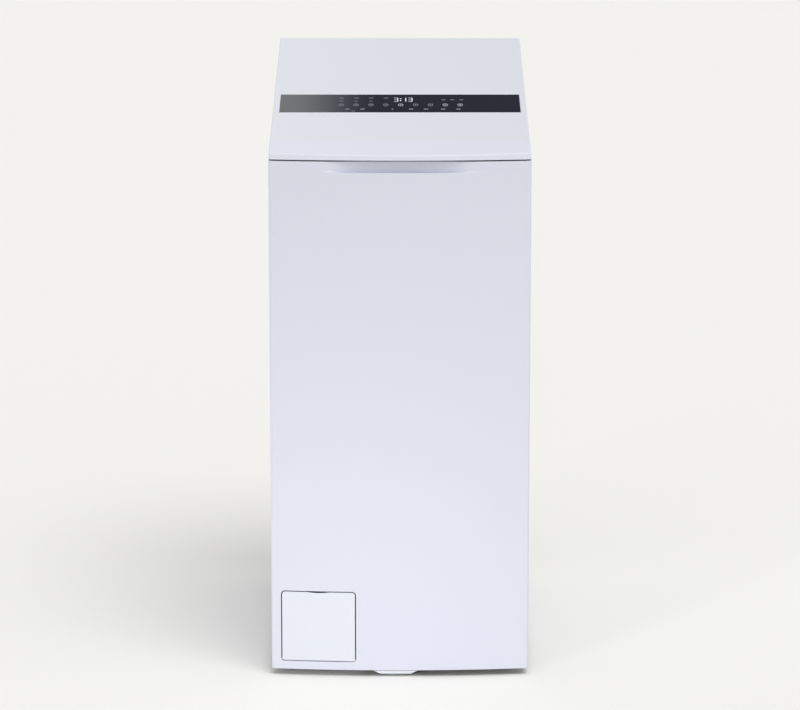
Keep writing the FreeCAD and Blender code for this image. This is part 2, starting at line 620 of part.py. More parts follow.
# ---- Lid ----
def lid_solid(inset):
    """The lid's outer block, or with an inset the space inside its skin, open below."""
    top_angle = math.atan(LID_SLOPE)
    seam_angle = math.atan(SEAM_SLOPE)
    radius = LID_REAR_R - inset
    front = FRONT_Y + inset
    half = WIDTH / 2 - LID_INSET - inset
    x0 = -half

    def at(y, z):
        return V(x0, y, z)

    top = at(HINGE_Y - radius * math.sin(top_angle), HINGE_Z + radius * math.cos(top_angle))
    rear = at(HINGE_Y + radius, HINGE_Z)
    if inset:
        bottom = at(HINGE_Y, HINGE_Z - radius)
        below = LID_BOTTOM_Z - 5 * WALL
        foot_points = [at(HINGE_Y, below), at(front, below)]
    else:
        bottom = at(HINGE_Y + radius * math.sin(seam_angle), HINGE_Z - radius * math.cos(seam_angle))
        foot_points = [at(SEAM_START_Y, LID_BOTTOM_Z), at(front, LID_BOTTOM_Z)]
    nose = [at(front, nose_z(front, inset)), at(BREAK_Y, plane_z(BREAK_Y, inset))]
    points = [bottom] + foot_points + nose + [top]
    edges = [Part.LineSegment(a, b).toShape() for a, b in zip(points[:-1], points[1:])]
    edges.append(Part.Arc(top, rear, bottom).toShape())
    block_shape = Part.Face(Part.Wire(edges)).extrude(V(2 * half, 0, 0))
    return block_shape.common(bowed_prism(LID_INSET + inset, REAR_Y + 1, 700, 1000))


def sloped_slab(y0, y1, drop0, drop1, half):
    """A slab under the lid's main plane, between two drops below it."""
    points = [(y, plane_z(y, drop1)) for y in (y0, y1)] + [(y, plane_z(y, drop0)) for y in (y1, y0)]
    return prism_x(points, -half, half)


def lid_outer_shell():
    shell = lid_solid(0).cut(lid_solid(WALL))
    shell = shell.cut(sloped_slab(GLASS_FRONT_Y - FIT_GAP, GLASS_REAR_Y + FIT_GAP, -1.0, GLASS_THICK,
                                  GLASS_HALF + FIT_GAP))
    shell = shell.cut(sloped_slab(GLASS_FRONT_Y + 8, GLASS_REAR_Y - 8, -1.0, 2 * WALL, GLASS_HALF - 8))
    for side in SIDES:
        x = side * HINGE_PIN_X
        shell = shell.cut(block((x - 6, HINGE_Y - 8, HINGE_Z - 20), (x + 6, REAR_Y + 2, HINGE_Z + 5)))
    return shell


def control_glass():
    return sloped_slab(GLASS_FRONT_Y, GLASS_REAR_Y, 0.0, GLASS_THICK, GLASS_HALF)


def display_board():
    return sloped_slab(GLASS_FRONT_Y + 12, GLASS_REAR_Y - 12, 3.2, 4.8, GLASS_HALF - 14)


def lid_inner_liner():
    low = LINER_RISE
    plate = band_under_seam(LINER_FRONT_Y, LINER_REAR_Y, low, low + WALL, LINER_HALF)
    rim = band_under_seam(LINER_FRONT_Y + 25, LINER_REAR_Y - 25, low, low + 2 * WALL, LINER_HALF)
    rim = rim.cut(block((-LINER_HALF + WALL, -WIDTH, 700), (LINER_HALF - WALL, WIDTH, 1000)))
    knuckles = []
    for side in SIDES:
        for x in (side * HINGE_PIN_X - 13.0, side * HINGE_PIN_X + 5.0):
            ring = rod(6.5, (x, HINGE_Y, HINGE_Z), (1, 0, 0), 8.0)
            arm = block((x, LINER_REAR_Y - 6, seam_z(LINER_REAR_Y, low)), (x + 8, HINGE_Y, HINGE_Z))
            knuckles.append(ring.fuse(arm))
    liner = fuse([plate, rim] + knuckles)
    for side in SIDES:
        liner = liner.cut(rod(HINGE_PIN_R, (side * HINGE_PIN_X - 15.0, HINGE_Y, HINGE_Z), (1, 0, 0), 30.0))
    return liner.cut(block((HOOK_X - 2, HOOK_Y - 6, 800), (HOOK_X + 2, HOOK_Y + 6, 830)))


def lid_hinge_pins():
    starts = [(side * HINGE_PIN_X - 13.0, HINGE_Y, HINGE_Z) for side in SIDES]
    return Part.makeCompound([rod(HINGE_PIN_R, start, (1, 0, 0), 26.0) for start in starts])


def lid_latch_hook():
    plate = block((HOOK_X - 2, HOOK_Y - 6, 772), (HOOK_X + 2, HOOK_Y + 6, seam_z(HOOK_Y, LINER_RISE)))
    head = block((HOOK_X - 7, HOOK_Y - 8, seam_z(HOOK_Y + 8, LINER_RISE) - 5), (HOOK_X + 7, HOOK_Y + 8,
                 seam_z(HOOK_Y - 8, LINER_RISE)))
    return fuse([plate, head]).cut(block((HOOK_X - 3, HOOK_Y - 4, 776.5), (HOOK_X + 3, HOOK_Y + 4, 785.5)))


def lid_seal():
    top = LINER_RISE
    band = band_under_seam(MOUTH_Y0 - 20, MOUTH_Y1 + 20, -DECK_DROP + COLLAR_RISE + 0.5, top, WIDTH / 2)
    return band.common(mouth_prism(MOUTH_WALL, 700, 1000)).cut(mouth_prism(-3.0, 690, 1010))


# ---- Tub ----
def tub_solid():
    shell = drum_ring(TUB_R, TUB_R - TUB_WALL, TUB_LEFT_X, TUB_RIGHT_X)
    ends = []
    for x0 in (TUB_LEFT_X, TUB_RIGHT_X - TUB_WALL):
        ends.append(drum_ring(TUB_R, 34.0, x0, x0 + TUB_WALL))
    flange = drum_ring(TUB_FLANGE_R, TUB_R - 1, -5.0, 5.0)
    neck = mouth_prism(MOUTH_WALL, AXIS_Z, NECK_TOP_Z).cut(drum_rod(TUB_R - TUB_WALL, -WIDTH, WIDTH))
    ears = []
    for x, y in corners_of(HANGER_X, HANGER_Y):
        inner = TUB_LEFT_X + 1 if x < 0 else TUB_RIGHT_X - 1
        outer = x + math.copysign(6.0, x)
        lug = sorted((inner, outer))
        ears.append(block((lug[0], y - 10, SPRING_LOW_Z - 20), (lug[1], y + 10, SPRING_LOW_Z)))
        ears.append(block((lug[0], y - 10, 320), (lug[1], y + 10, 335)))
        web = sorted((inner, inner + math.copysign(4.0, x)))
        for z0, z1 in ((560, SPRING_LOW_Z), (320, 400)):
            y_in = y - math.copysign(40.0, y)
            ys = sorted((y_in, y + math.copysign(10.0, y)))
            ears.append(block((web[0], ys[0], z0), (web[1], ys[1], z1)))
    body = fuse([shell, neck, flange] + ends + ears)
    body = body.cut(mouth_prism(0, AXIS_Z + 100, 1000.0))
    return body.cut(drum_rod(TUB_R - TUB_WALL, TUB_LEFT_X + TUB_WALL, TUB_RIGHT_X - TUB_WALL))


TUB_SCREW_ANGLES = [k * 24.0 for k in range(2, 14)]
TUB_SCREW_R = 262.5


def on_circle(radius, degrees):
    """Point at an angle from straight up about the drum's axis."""
    angle = math.radians(degrees)
    return AXIS_Y + radius * math.sin(angle), AXIS_Z + radius * math.cos(angle)


def tub_half(body, side):
    x0, x1 = sorted((0, side * WIDTH))
    keep = block((x0, -WIDTH, 0), (x1, WIDTH, 1000))
    half = body.common(keep)
    for degrees in TUB_SCREW_ANGLES:
        y, z = on_circle(TUB_SCREW_R, degrees)
        half = half.cut(rod(2.6, (-20, y, z), (1, 0, 0), 40))
    port = soft_block((TUB_LEFT_X - 1, AXIS_Y - 22, HEATER_Z - 5.5), (TUB_LEFT_X + TUB_WALL + 1, AXIS_Y + 22,
                      HEATER_Z + 5.5), 5.0, "x")
    return half.cut(port)


def tub_screws():
    screws = []
    for degrees in TUB_SCREW_ANGLES:
        y, z = on_circle(TUB_SCREW_R, degrees)
        shank = rod(2.5, (-8, y, z), (1, 0, 0), 13)
        head = rod(5.0, (5, y, z), (1, 0, 0), 5)
        screws.append(shank.fuse(head).cut(rod(2.5, (7, y, z), (1, 0, 0), 4)).removeSplitter())
    return Part.makeCompound(screws)


def bearing_span(side):
    face = TUB_RIGHT_X if side > 0 else TUB_LEFT_X
    return sorted((face, face + side * BEARING_OUTER_FACE))


def bearing_housings():
    housings = []
    for side in SIDES:
        x0, x1 = bearing_span(side)
        face = TUB_RIGHT_X if side > 0 else TUB_LEFT_X
        ring = drum_ring(34.0, BEARING_R, x0, x1)
        plate = sorted((face, face + side * 5.0))
        disc = drum_ring(62.0, 30.0, plate[0], plate[1])
        housings.append(fuse([ring, disc]))
    return Part.makeCompound(housings)


def drum_bearings():
    rings = []
    for side in SIDES:
        x0, x1 = bearing_span(side)
        if side > 0:
            x0 = x1 - BEARING_WIDTH
        rings.append(drum_ring(BEARING_R, SHAFT_R + SHAFT_CLEAR, x0, x0 + BEARING_WIDTH))
    return Part.makeCompound(rings)


def shaft_seals():
    seals = []
    for side in SIDES:
        face = TUB_RIGHT_X if side > 0 else TUB_LEFT_X
        x0, x1 = sorted((face, face - side * TUB_WALL))
        seals.append(drum_ring(33.9, SHAFT_R + SHAFT_CLEAR, x0, x1))
    return Part.makeCompound(seals)


def counterweights():
    front = soft_block((-132, -264, 590), (132, -150, 718), 10.0, "x")
    rear = soft_block((-132, 150, 240), (132, 268, 372), 10.0, "x")
    blocks = []
    for weight in (front, rear):
        weight = weight.cut(drum_rod(TUB_R + 0.5, -WIDTH, WIDTH))
        weight = weight.cut(drum_rod(TUB_FLANGE_R + 7, -12, 12))
        blocks.append(weight)
    return Part.makeCompound(blocks)


def heater():
    y = AXIS_Y
    z = HEATER_Z
    legs = [rod(4.0, (TUB_LEFT_X - 15, y + side * 15, z), (1, 0, 0), 215) for side in SIDES]
    bend = rod(4.0, (TUB_LEFT_X + 200, y - 15, z), (0, 1, 0), 30)
    plug = soft_block((TUB_LEFT_X - 8, y - 26, z - 7), (TUB_LEFT_X, y + 26, z + 7), 6.0, "x")
    return fuse(legs + [bend, plug])


def motor_housing():
    case = rod(MOTOR_R, (-20, MOTOR_Y, MOTOR_Z), (1, 0, 0), 160)
    case = case.cut(rod(MOTOR_R - 4, (-14, MOTOR_Y, MOTOR_Z), (1, 0, 0), 148))
    stator = pipe(MOTOR_R - 4, 38, (0, MOTOR_Y, MOTOR_Z), (1, 0, 0), 110)
    lug_points = [(MOTOR_Y - 55, MOTOR_Z + 20), (MOTOR_Y + 10, MOTOR_Z + 60), (MOTOR_Y - 25, 330), (20, 240)]
    lugs = [prism_x(lug_points, x0, x0 + 12) for x0 in (-22, 110)]
    housing = fuse([case, stator] + lugs)
    housing = housing.cut(drum_rod(TUB_R + 0.5, -WIDTH, WIDTH))
    housing = housing.cut(rod(MOTOR_R - 4, (-14, MOTOR_Y, MOTOR_Z), (1, 0, 0), 14))
    housing = housing.cut(rod(38, (-1, MOTOR_Y, MOTOR_Z), (1, 0, 0), 135))
    housing = housing.cut(rod(MOTOR_R - 4, (110, MOTOR_Y, MOTOR_Z), (1, 0, 0), 24))
    return housing.cut(rod(7.05, (-30, MOTOR_Y, MOTOR_Z), (1, 0, 0), 190))


def motor_rotor():
    shaft = rod(7.0, (-19, MOTOR_Y, MOTOR_Z), (1, 0, 0), 207)
    core = rod(37.0, (0, MOTOR_Y, MOTOR_Z), (1, 0, 0), 110)
    pulley = rod(MOTOR_PULLEY_R, (PULLEY_X0 - 1, MOTOR_Y, MOTOR_Z), (1, 0, 0), 18)
    return fuse([shaft, core, pulley])


def belt_loop(extra, x0, x1):
    """Solid between and around the two pulleys, each grown by extra."""
    big = PULLEY_R + extra
    small = MOTOR_PULLEY_R + extra
    dy = MOTOR_Y - AXIS_Y
    dz = MOTOR_Z - AXIS_Z
    distance = math.hypot(dy, dz)
    heading = math.atan2(dz, dy)
    lean = math.acos((big - small) / distance)
    points = []
    for centre_y, centre_z, radius, sign in (
        (AXIS_Y, AXIS_Z, big, 1),
        (MOTOR_Y, MOTOR_Z, small, 1),
        (MOTOR_Y, MOTOR_Z, small, -1),
        (AXIS_Y, AXIS_Z, big, -1),
    ):
        angle = heading + sign * lean
        points.append((centre_y + radius * math.cos(angle), centre_z + radius * math.sin(angle)))
    middle = prism_x(points, x0, x1)
    wheel = rod(big, (x0, AXIS_Y, AXIS_Z), (1, 0, 0), x1 - x0)
    spindle = rod(small, (x0, MOTOR_Y, MOTOR_Z), (1, 0, 0), x1 - x0)
    return fuse([middle, wheel, spindle])


def drive_belt():
    outer = belt_loop(BELT_CLEAR + BELT_THICK, PULLEY_X0 + 2, PULLEY_X1 - 2)
    return outer.cut(belt_loop(BELT_CLEAR, PULLEY_X0 + 1, PULLEY_X1 - 1))


def damper_rods():
    feet = [(x, y, 130) for x, y in corners_of(HANGER_X, HANGER_Y)]
    return Part.makeCompound([rod(DAMPER_ROD_R, foot, (0, 0, 1), 190) for foot in feet])


def damper_cylinders():
    tubes = []
    for x, y in corners_of(HANGER_X, HANGER_Y):
        outer = rod(DAMPER_R, (x, y, 30), (0, 0, 1), 180)
        tubes.append(outer.cut(rod(DAMPER_ROD_R + 2.0, (x, y, 40), (0, 0, 1), 180)))
    return Part.makeCompound(tubes)


def suspension_springs():
    springs = []
    height = SPRING_HIGH_Z - SPRING_LOW_Z - 2 * SPRING_WIRE_R - 0.4
    for x, y in corners_of(HANGER_X, HANGER_Y):
        helix = Part.makeHelix(height / SPRING_TURNS, height, SPRING_R)
        helix.translate(V(x, y, SPRING_LOW_Z + SPRING_WIRE_R + 0.2))
        start = V(x + SPRING_R, y, SPRING_LOW_Z + SPRING_WIRE_R + 0.2)
        section = Part.Wire(Part.makeCircle(SPRING_WIRE_R, start, V(0, 1, 0)))
        springs.append(Part.Wire(helix.Edges).makePipeShell([section], True, True))
    return Part.makeCompound(springs)


def mouth_gasket():
    outer = fuse([mouth_prism(6.5, NECK_TOP_Z - 8, CHUTE_BOTTOM_Z + 8), mouth_prism(12.0, NECK_TOP_Z + 5,
                  CHUTE_BOTTOM_Z - 5)])
    inner = fuse([mouth_prism(3.4, NECK_TOP_Z - 9, CHUTE_BOTTOM_Z + 9), mouth_prism(9.0, NECK_TOP_Z + 8,
                  CHUTE_BOTTOM_Z - 8)])
    return outer.cut(inner)


def sump_hose():
    low = (PUMP_X, -225.0, PUMP_Z + 62.0)
    bend_z = 185.0
    high_x = -40.0
    radius = 30.0
    top = (high_x, -60.0, 236.0)
    start = V(*low)
    path_points = [start, V(PUMP_X, -225.0, bend_z), V(high_x, -60.0, bend_z), V(*top)]
    edges = []
    here = path_points[0]
    for corner, after in zip(path_points[1:-1], path_points[2:]):
        inward = (corner - here).normalize()
        outward = (after - corner).normalize()
        a = corner - inward * radius
        b = corner + outward * radius
        centre_dir = (outward - inward).normalize()
        half_turn = math.acos(max(-1, min(1, inward.dot(outward)))) / 2
        bulge = radius / math.tan(half_turn) * (1 / math.cos(half_turn) - 1)
        edges.append(Part.LineSegment(here, a).toShape())
        edges.append(Part.Arc(a, corner + centre_dir * bulge, b).toShape())
        here = b
    edges.append(Part.LineSegment(here, path_points[-1]).toShape())
    path = Part.Wire(edges)
    ring = [Part.Wire(Part.makeCircle(r, start, V(0, 0, 1))) for r in (15.0, 13.0)]
    outer = path.makePipeShell([ring[0]], True, False)
    inner = path.makePipeShell([ring[1]], True, False)
    return outer.cut(inner).cut(drum_rod(TUB_R, -WIDTH, WIDTH))


# ---- Drum ----
def drum_shell():
    shell = drum_ring(DRUM_R, DRUM_R - SHEET, -DRUM_HALF, DRUM_HALF)
    opening = block((-DRUM_OPENING_HALF_X, AXIS_Y - DRUM_OPENING_HALF_Y, AXIS_Z + 100),
                    (DRUM_OPENING_HALF_X, AXIS_Y + DRUM_OPENING_HALF_Y, AXIS_Z + 300))
    return shell.cut(opening)


def drum_ends():
    ends = []
    for side in SIDES:
        x0, x1 = sorted((side * DRUM_HALF, side * (DRUM_HALF + 2)))
        disc = drum_rod(DRUM_R, x0, x1)
        boss = sorted((side * (DRUM_HALF + 2), side * (DRUM_HALF + 8)))
        spider = [drum_ring(45.0, SHAFT_R, boss[0], boss[1])]
        for k in range(3):
            arm = block((boss[0], AXIS_Y - 16, AXIS_Z + 30), (boss[1], AXIS_Y + 16, AXIS_Z + 205))
            arm.rotate(V(0, AXIS_Y, AXIS_Z), V(1, 0, 0), 60 + k * 120.0)
            spider.append(arm)
        ends.append(fuse([disc] + spider).cut(drum_rod(SHAFT_R, boss[0] - 0.01, boss[1] + 0.01)))
    return Part.makeCompound(ends)


def drum_lifters():
    lifters = []
    for degrees in (110.0, 180.0, 250.0):
        base = DRUM_R - SHEET - 0.2
        points = [(-28, base - 4), (28, base - 4), (14, base - 40), (-14, base - 40)]
        wedge = prism_x([(AXIS_Y + a, AXIS_Z + b) for a, b in points], -118, 118)
        ridge_z = AXIS_Z + base - 39
        ridge = [edge for edge in wedge.Edges if edge.BoundBox.ZMax < ridge_z and edge.Length > 200]
        wedge = wedge.makeFillet(9.0, ridge)
        wedge.rotate(V(0, AXIS_Y, AXIS_Z), V(1, 0, 0), -degrees)
        lifters.append(wedge)
    return Part.makeCompound(lifters)


def drum_shafts():
    left = drum_rod(SHAFT_R, TUB_LEFT_X - 22, -DRUM_HALF - 2)
    right = drum_rod(SHAFT_R, DRUM_HALF + 2, 192)
    return Part.makeCompound([left, right])


def drum_pulley():
    rim = drum_ring(PULLEY_R, PULLEY_R - 8, PULLEY_X0, PULLEY_X1)
    hub = drum_rod(24, PULLEY_X0 - 2, PULLEY_X1)
    web = drum_rod(PULLEY_R - 4, PULLEY_X0 + 6, PULLEY_X0 + 10)
    wheel = fuse([rim, hub, web])
    for k in range(6):
        y, z = on_circle(84, k * 60.0)
        wheel = wheel.cut(rod(34, (PULLEY_X0, y, z), (1, 0, 0), 20))
    return wheel.cut(drum_rod(SHAFT_R, 160, 195))


def flap_pin_point(side):
    """Hinge axis of a drum flap, on the drum's skin at one end of its opening."""
    y = side * DRUM_OPENING_HALF_Y
    return AXIS_Y + y, AXIS_Z + math.sqrt((DRUM_R - 0.5)**2 - y**2)


def drum_flap(side):
    y0, y1 = sorted((side * (DRUM_OPENING_HALF_Y - FLAP_EDGE), side * FLAP_EDGE / 2))
    skin = drum_ring(DRUM_R, DRUM_R - 1.5, -DRUM_OPENING_HALF_X + 2, DRUM_OPENING_HALF_X - 2)
    skin = skin.common(block((-WIDTH, AXIS_Y + y0, AXIS_Z), (WIDTH, AXIS_Y + y1, 1000)))
    pin_y, pin_z = flap_pin_point(side)
    barrel_half = DRUM_OPENING_HALF_X - 4
    barrel = rod(FLAP_PIN_R, (-barrel_half, pin_y, pin_z), (1, 0, 0), 2 * barrel_half)
    flap = fuse([skin, barrel])
    if side < 0:
        flap = flap.cut(block((-17, AXIS_Y - 34, AXIS_Z), (17, AXIS_Y - 12, 1000)))
    return flap


def clear_flap_barrels(shell):
    for side in SIDES:
        pin_y, pin_z = flap_pin_point(side)
        shell = shell.cut(rod(FLAP_PIN_R + 0.8, (-DRUM_OPENING_HALF_X + 2, pin_y, pin_z), (1, 0, 0),
                              2 * DRUM_OPENING_HALF_X - 4))
    return shell


def flap_latch_button():
    plate = drum_ring(DRUM_R - 2.2, DRUM_R - 4.0, -24, 24)
    plate = plate.common(block((-WIDTH, AXIS_Y - 40, AXIS_Z), (WIDTH, AXIS_Y - 8, 1000)))
    key = drum_ring(DRUM_R + 1.5, DRUM_R - 3.0, -16, 16)
    key = key.common(block((-WIDTH, AXIS_Y - 33, AXIS_Z), (WIDTH, AXIS_Y - 13, 1000)))
    return fuse([plate, key])


# ---- Trolley ----
def trolley_lever():
    grip_low = (LEVER_X - GRIP_TOP_HALF, GRIP_FRONT_Y, LEVER_Z0)
    grip = block(grip_low, (LEVER_X + GRIP_TOP_HALF, GRIP_BACK_Y, LEVER_Z1))
    for side in SIDES:
        top_x = LEVER_X + side * GRIP_TOP_HALF
        low_x = LEVER_X + side * GRIP_BOTTOM_HALF
        outside = top_x + side
        wedge = [V(low_x, -301, LEVER_Z0), V(outside, -301, LEVER_Z0), V(outside, -301, LEVER_Z1),
                 V(top_x, -301, LEVER_Z1)]
        grip = grip.cut(Part.Face(Part.makePolygon(wedge + wedge[:1])).extrude(V(0, 13, 0)))
    arm = block((LEVER_X - 16, -291, LEVER_Z0), (LEVER_X + 16, LEVER_PIVOT_Y, LEVER_Z1))
    hub = rod(16.0, (LEVER_X, LEVER_PIVOT_Y, LEVER_Z0), (0, 0, 1), LEVER_Z1 - LEVER_Z0)
    pin = rod(5.0, (LEVER_X, LEVER_PIVOT_Y, LEVER_Z1), (0, 0, 1), 15.0)
    return fuse([grip, arm, hub, pin])


def trolley_cradle():
    axle_z = CASTOR_REST_Z + CASTOR_R
    plate = block((-112, CASTOR_Y - 16, 38), (112, CASTOR_Y + 16, 42))
    cheeks = []
    for side in SIDES:
        for offset in (-11.5, 8.5):
            x = side * CASTOR_X + offset
            cheeks.append(block((x, CASTOR_Y - 9, axle_z - 6), (x + 3, CASTOR_Y + 9, 38)))
    cradle = fuse([plate] + cheeks)
    return cradle.cut(rod(3.06, (-150, CASTOR_Y, axle_z), (1, 0, 0), 300))


def castor_wheels():
    axle_z = CASTOR_REST_Z + CASTOR_R
    wheels = []
    for side in SIDES:
        x = side * CASTOR_X
        tread = rod(CASTOR_R, (x - 8, CASTOR_Y, axle_z), (1, 0, 0), 16)
        tread = tread.makeFillet(2.0, [edge for edge in tread.Edges if edge.Closed])
        wheels.append(fuse([tread, rod(3.0, (x - 12, CASTOR_Y, axle_z), (1, 0, 0), 24)]))
    return Part.makeCompound(wheels)


def save(name, shape):
    shape.exportStep(os.path.join("parts", name + ".step"))
    print(name, len(shape.Solids), round(shape.Volume / 1000.0, 1), shape.isValid())


def main():
    os.makedirs("parts", exist_ok=True)
    tub = tub_solid()
    pieces = {
        "front_panel": front_panel(),
        "left_side_panel": side_panel(-1),
        "right_side_panel": side_panel(1),
        "back_panel": back_panel(),
        "back_panel_screws": back_panel_screws(),
        "transit_hole_caps": transit_hole_caps(),
        "base_tray": base_tray(),
        "rear_feet": rear_feet(),
        "front_left_foot": foot(-FOOT_X, FOOT_FRONT_Y, 52.0),
        "front_right_foot": foot(FOOT_X, FOOT_FRONT_Y, 52.0),
        "filter_recess": filter_recess(),
        "top_deck": top_deck(),
        "dispenser_tray": dispenser_tray(),
        "lid_lock": lid_lock(),
        "lock_bolt": lock_bolt(),
        "suspension_brackets": suspension_brackets(),
        "hinge_brackets": hinge_brackets(),
        "inlet_valve": inlet_valve(),
        "drain_outlet": drain_outlet(),
        "cable_gland": cable_gland(),
        "control_module": control_module(),
        "pressure_switch": pressure_switch(),
        "pump_body": pump_body(),
        "pump_impeller": pump_impeller(),
        "filter_knob": filter_knob(),
        "pump_door": pump_door(),
        "damper_cylinders": damper_cylinders(),
        "damper_rods": damper_rods(),
        "suspension_springs": suspension_springs(),
        "lid_outer_shell": lid_outer_shell(),
        "lid_inner_liner": lid_inner_liner(),
        "lid_seal": lid_seal(),
        "lid_latch_hook": lid_latch_hook(),
        "lid_hinge_pins": lid_hinge_pins(),
        "control_glass": control_glass(),
        "display_board": display_board(),
        "tub_left_half": tub_half(tub, -1),
        "tub_right_half": tub_half(tub, 1),
        "tub_screws": tub_screws(),
        "bearing_housings": bearing_housings(),
        "drum_bearings": drum_bearings(),
        "shaft_seals": shaft_seals(),
        "counterweights": counterweights(),
        "heater": heater(),
        "motor_housing": motor_housing(),
        "motor_rotor": motor_rotor(),
        "drive_belt": drive_belt(),
        "mouth_gasket": mouth_gasket(),
        "sump_hose": sump_hose(),
        "drum_shell": clear_flap_barrels(drum_shell()),
        "drum_ends": drum_ends(),
        "drum_lifters": drum_lifters(),
        "drum_shafts": drum_shafts(),
        "drum_pulley": drum_pulley(),
        "drum_flap_front": drum_flap(-1),
        "drum_flap_rear": drum_flap(1),
        "flap_latch_button": flap_latch_button(),
        "trolley_lever": trolley_lever(),
        "trolley_cradle": trolley_cradle(),
        "castor_wheels": castor_wheels(),
    }
    for name, shape in pieces.items():
        save(name, shape)
    print(len(pieces), "nodes")


main()
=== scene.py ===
import json
import math

import bmesh
import bpy
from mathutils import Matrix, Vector
from mathutils.geometry import delaunay_2d_cdt


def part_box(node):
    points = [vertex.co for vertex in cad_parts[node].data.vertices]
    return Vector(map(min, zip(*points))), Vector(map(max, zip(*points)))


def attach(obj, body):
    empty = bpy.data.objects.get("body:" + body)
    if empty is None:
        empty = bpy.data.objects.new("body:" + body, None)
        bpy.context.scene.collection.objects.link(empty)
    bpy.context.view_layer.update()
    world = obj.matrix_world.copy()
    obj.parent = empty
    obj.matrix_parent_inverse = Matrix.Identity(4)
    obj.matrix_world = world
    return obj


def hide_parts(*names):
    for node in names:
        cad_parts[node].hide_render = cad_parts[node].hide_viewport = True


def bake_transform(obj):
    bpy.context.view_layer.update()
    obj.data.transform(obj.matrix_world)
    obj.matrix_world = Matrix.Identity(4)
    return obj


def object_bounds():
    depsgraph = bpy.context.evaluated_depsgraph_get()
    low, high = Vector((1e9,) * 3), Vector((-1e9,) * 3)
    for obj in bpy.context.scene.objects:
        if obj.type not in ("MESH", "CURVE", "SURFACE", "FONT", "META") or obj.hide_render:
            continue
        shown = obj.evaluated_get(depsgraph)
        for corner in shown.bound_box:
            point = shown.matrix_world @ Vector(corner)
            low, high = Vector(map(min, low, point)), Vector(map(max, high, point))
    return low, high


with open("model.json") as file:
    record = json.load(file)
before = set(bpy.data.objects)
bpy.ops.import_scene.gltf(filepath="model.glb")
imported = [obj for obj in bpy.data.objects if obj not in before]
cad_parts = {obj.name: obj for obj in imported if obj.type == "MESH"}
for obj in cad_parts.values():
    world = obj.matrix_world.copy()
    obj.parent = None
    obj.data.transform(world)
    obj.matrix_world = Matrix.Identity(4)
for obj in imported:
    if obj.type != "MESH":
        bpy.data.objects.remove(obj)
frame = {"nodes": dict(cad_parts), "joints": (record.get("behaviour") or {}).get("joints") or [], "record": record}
CAD_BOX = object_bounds()
RECORD = frame["record"]
JOINTS = {joint["name"]: joint for joint in frame["joints"]}
BODY_OF = {node: body for body, nodes in RECORD["behaviour"]["bodies"].items() for node in nodes}
SLOT_OF = {part["node"]: part["material_slot"] for part in RECORD["subparts"]}
MM = 0.001

# ---- Shape of the enamelled front, in metres ----
HALF_WIDTH = CAD_BOX[1][0]
PANEL_LOW, PANEL_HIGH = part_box("front_panel")
FRONT_Y = PANEL_LOW.y
CORNER_R = 5 * MM
BOW_DEPTH = 12 * MM
CORNER_Y = FRONT_Y + BOW_DEPTH + CORNER_R
CORNER_X = HALF_WIDTH - CORNER_R
BOW_R = (CORNER_X ** 2 + (BOW_DEPTH + CORNER_R) ** 2 - CORNER_R ** 2) / (2 * BOW_DEPTH)
BOW_CENTRE_Y = FRONT_Y + BOW_R
CORNER_ANGLE = math.asin(CORNER_X / (BOW_R - CORNER_R))
BOW_RUN = BOW_R * CORNER_ANGLE
CORNER_RUN = CORNER_R * (math.pi / 2 - CORNER_ANGLE)
CORNER_STEP = 0.9 * MM
RECESS_HALF = 140 * MM
RECESS_DEPTH = 12 * MM
RECESS_FADE = 0.5
RECESS_EDGE_Z = 794.4 * MM
RECESS_DROP = 7 * MM
RECESS_LIP = 0.7 * MM
RECESS_FLOOR_V = 799 * MM
LIP_DEPTH = 0.16
LIP_DROP = 0.22
DOOR_X0 = -184 * MM
DOOR_X1 = -70 * MM
DOOR_Z0 = 24.5 * MM
DOOR_Z1 = 134.8 * MM
DOOR_GAP = 1.6 * MM
DOOR_CORNER = 5 * MM
DOOR_FOOT_CORNER = 3 * MM
DOOR_BARREL = (2.2 * MM, 55.5 * MM)
DOOR_PIN = (1.0 * MM, 63.1 * MM)
NOTCH_HALF = 17 * MM
NOTCH_DEPTH = 1.3 * MM
NOTCH_DROP = 1.1 * MM
NOTCH_RUN = 5 * MM

# ---- Shape of the lid, in metres ----
LID_LOW, LID_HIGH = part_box("lid_outer_shell")
LID_HALF = LID_HIGH.x
LID_INSET = HALF_WIDTH - LID_HALF
HINGE = Vector(JOINTS["lid_hinge"]["pos_m"])
LID_REAR_R = LID_HIGH.y - HINGE.y
LID_ANGLE = math.radians(10.05)
BREAK_Y = -239 * MM
NOSE_Z = 820.5 * MM
BREAK_Z = HINGE.z + LID_REAR_R / math.cos(LID_ANGLE) - math.tan(LID_ANGLE) * (HINGE.y - BREAK_Y)
NOSE_SLOPE = (BREAK_Z - NOSE_Z) / (BREAK_Y - FRONT_Y)
SEAM_Z = LID_LOW.z
SEAM_START_Y = -288 * MM
SEAM_REACH = math.hypot(HINGE.y - SEAM_START_Y, SEAM_Z - HINGE.z)
SEAM_ANGLE = math.asin((HINGE.z - SEAM_Z) / SEAM_REACH) - math.asin(LID_REAR_R / SEAM_REACH)
GLASS_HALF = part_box("control_glass")[1].x
GLASS_FRONT_Y = -99 * MM
GLASS_REAR_Y = -10 * MM
GLASS_GAP = 0.25 * MM

# ---- Camera ----
LENS_MM = 164.7
SENSOR_MM = 36.0
CAMERA_Y = -5.778
CAMERA_Z = 1.6736
CAMERA_PITCH = math.radians(11.965)

# ---- Light ----
SUN_AZIMUTH = math.radians(34)
SUN_HEIGHT = math.radians(63)
SUN_STRENGTH = 0.98
SUN_SPREAD = math.radians(34)
WORLD_STRENGTH = 0.727
FILL_PLACE = (-2.6, -3.9, 1.0)
FILL_TARGET = (0.0, -0.3, 0.10)
FILL_CONE = math.radians(15)
FILL_SIZE = 0.4
FILL_WATTS = 230
FLOOR_REACH = 60.0
FLOOR_COLOUR = (0.90, 0.893, 0.862)

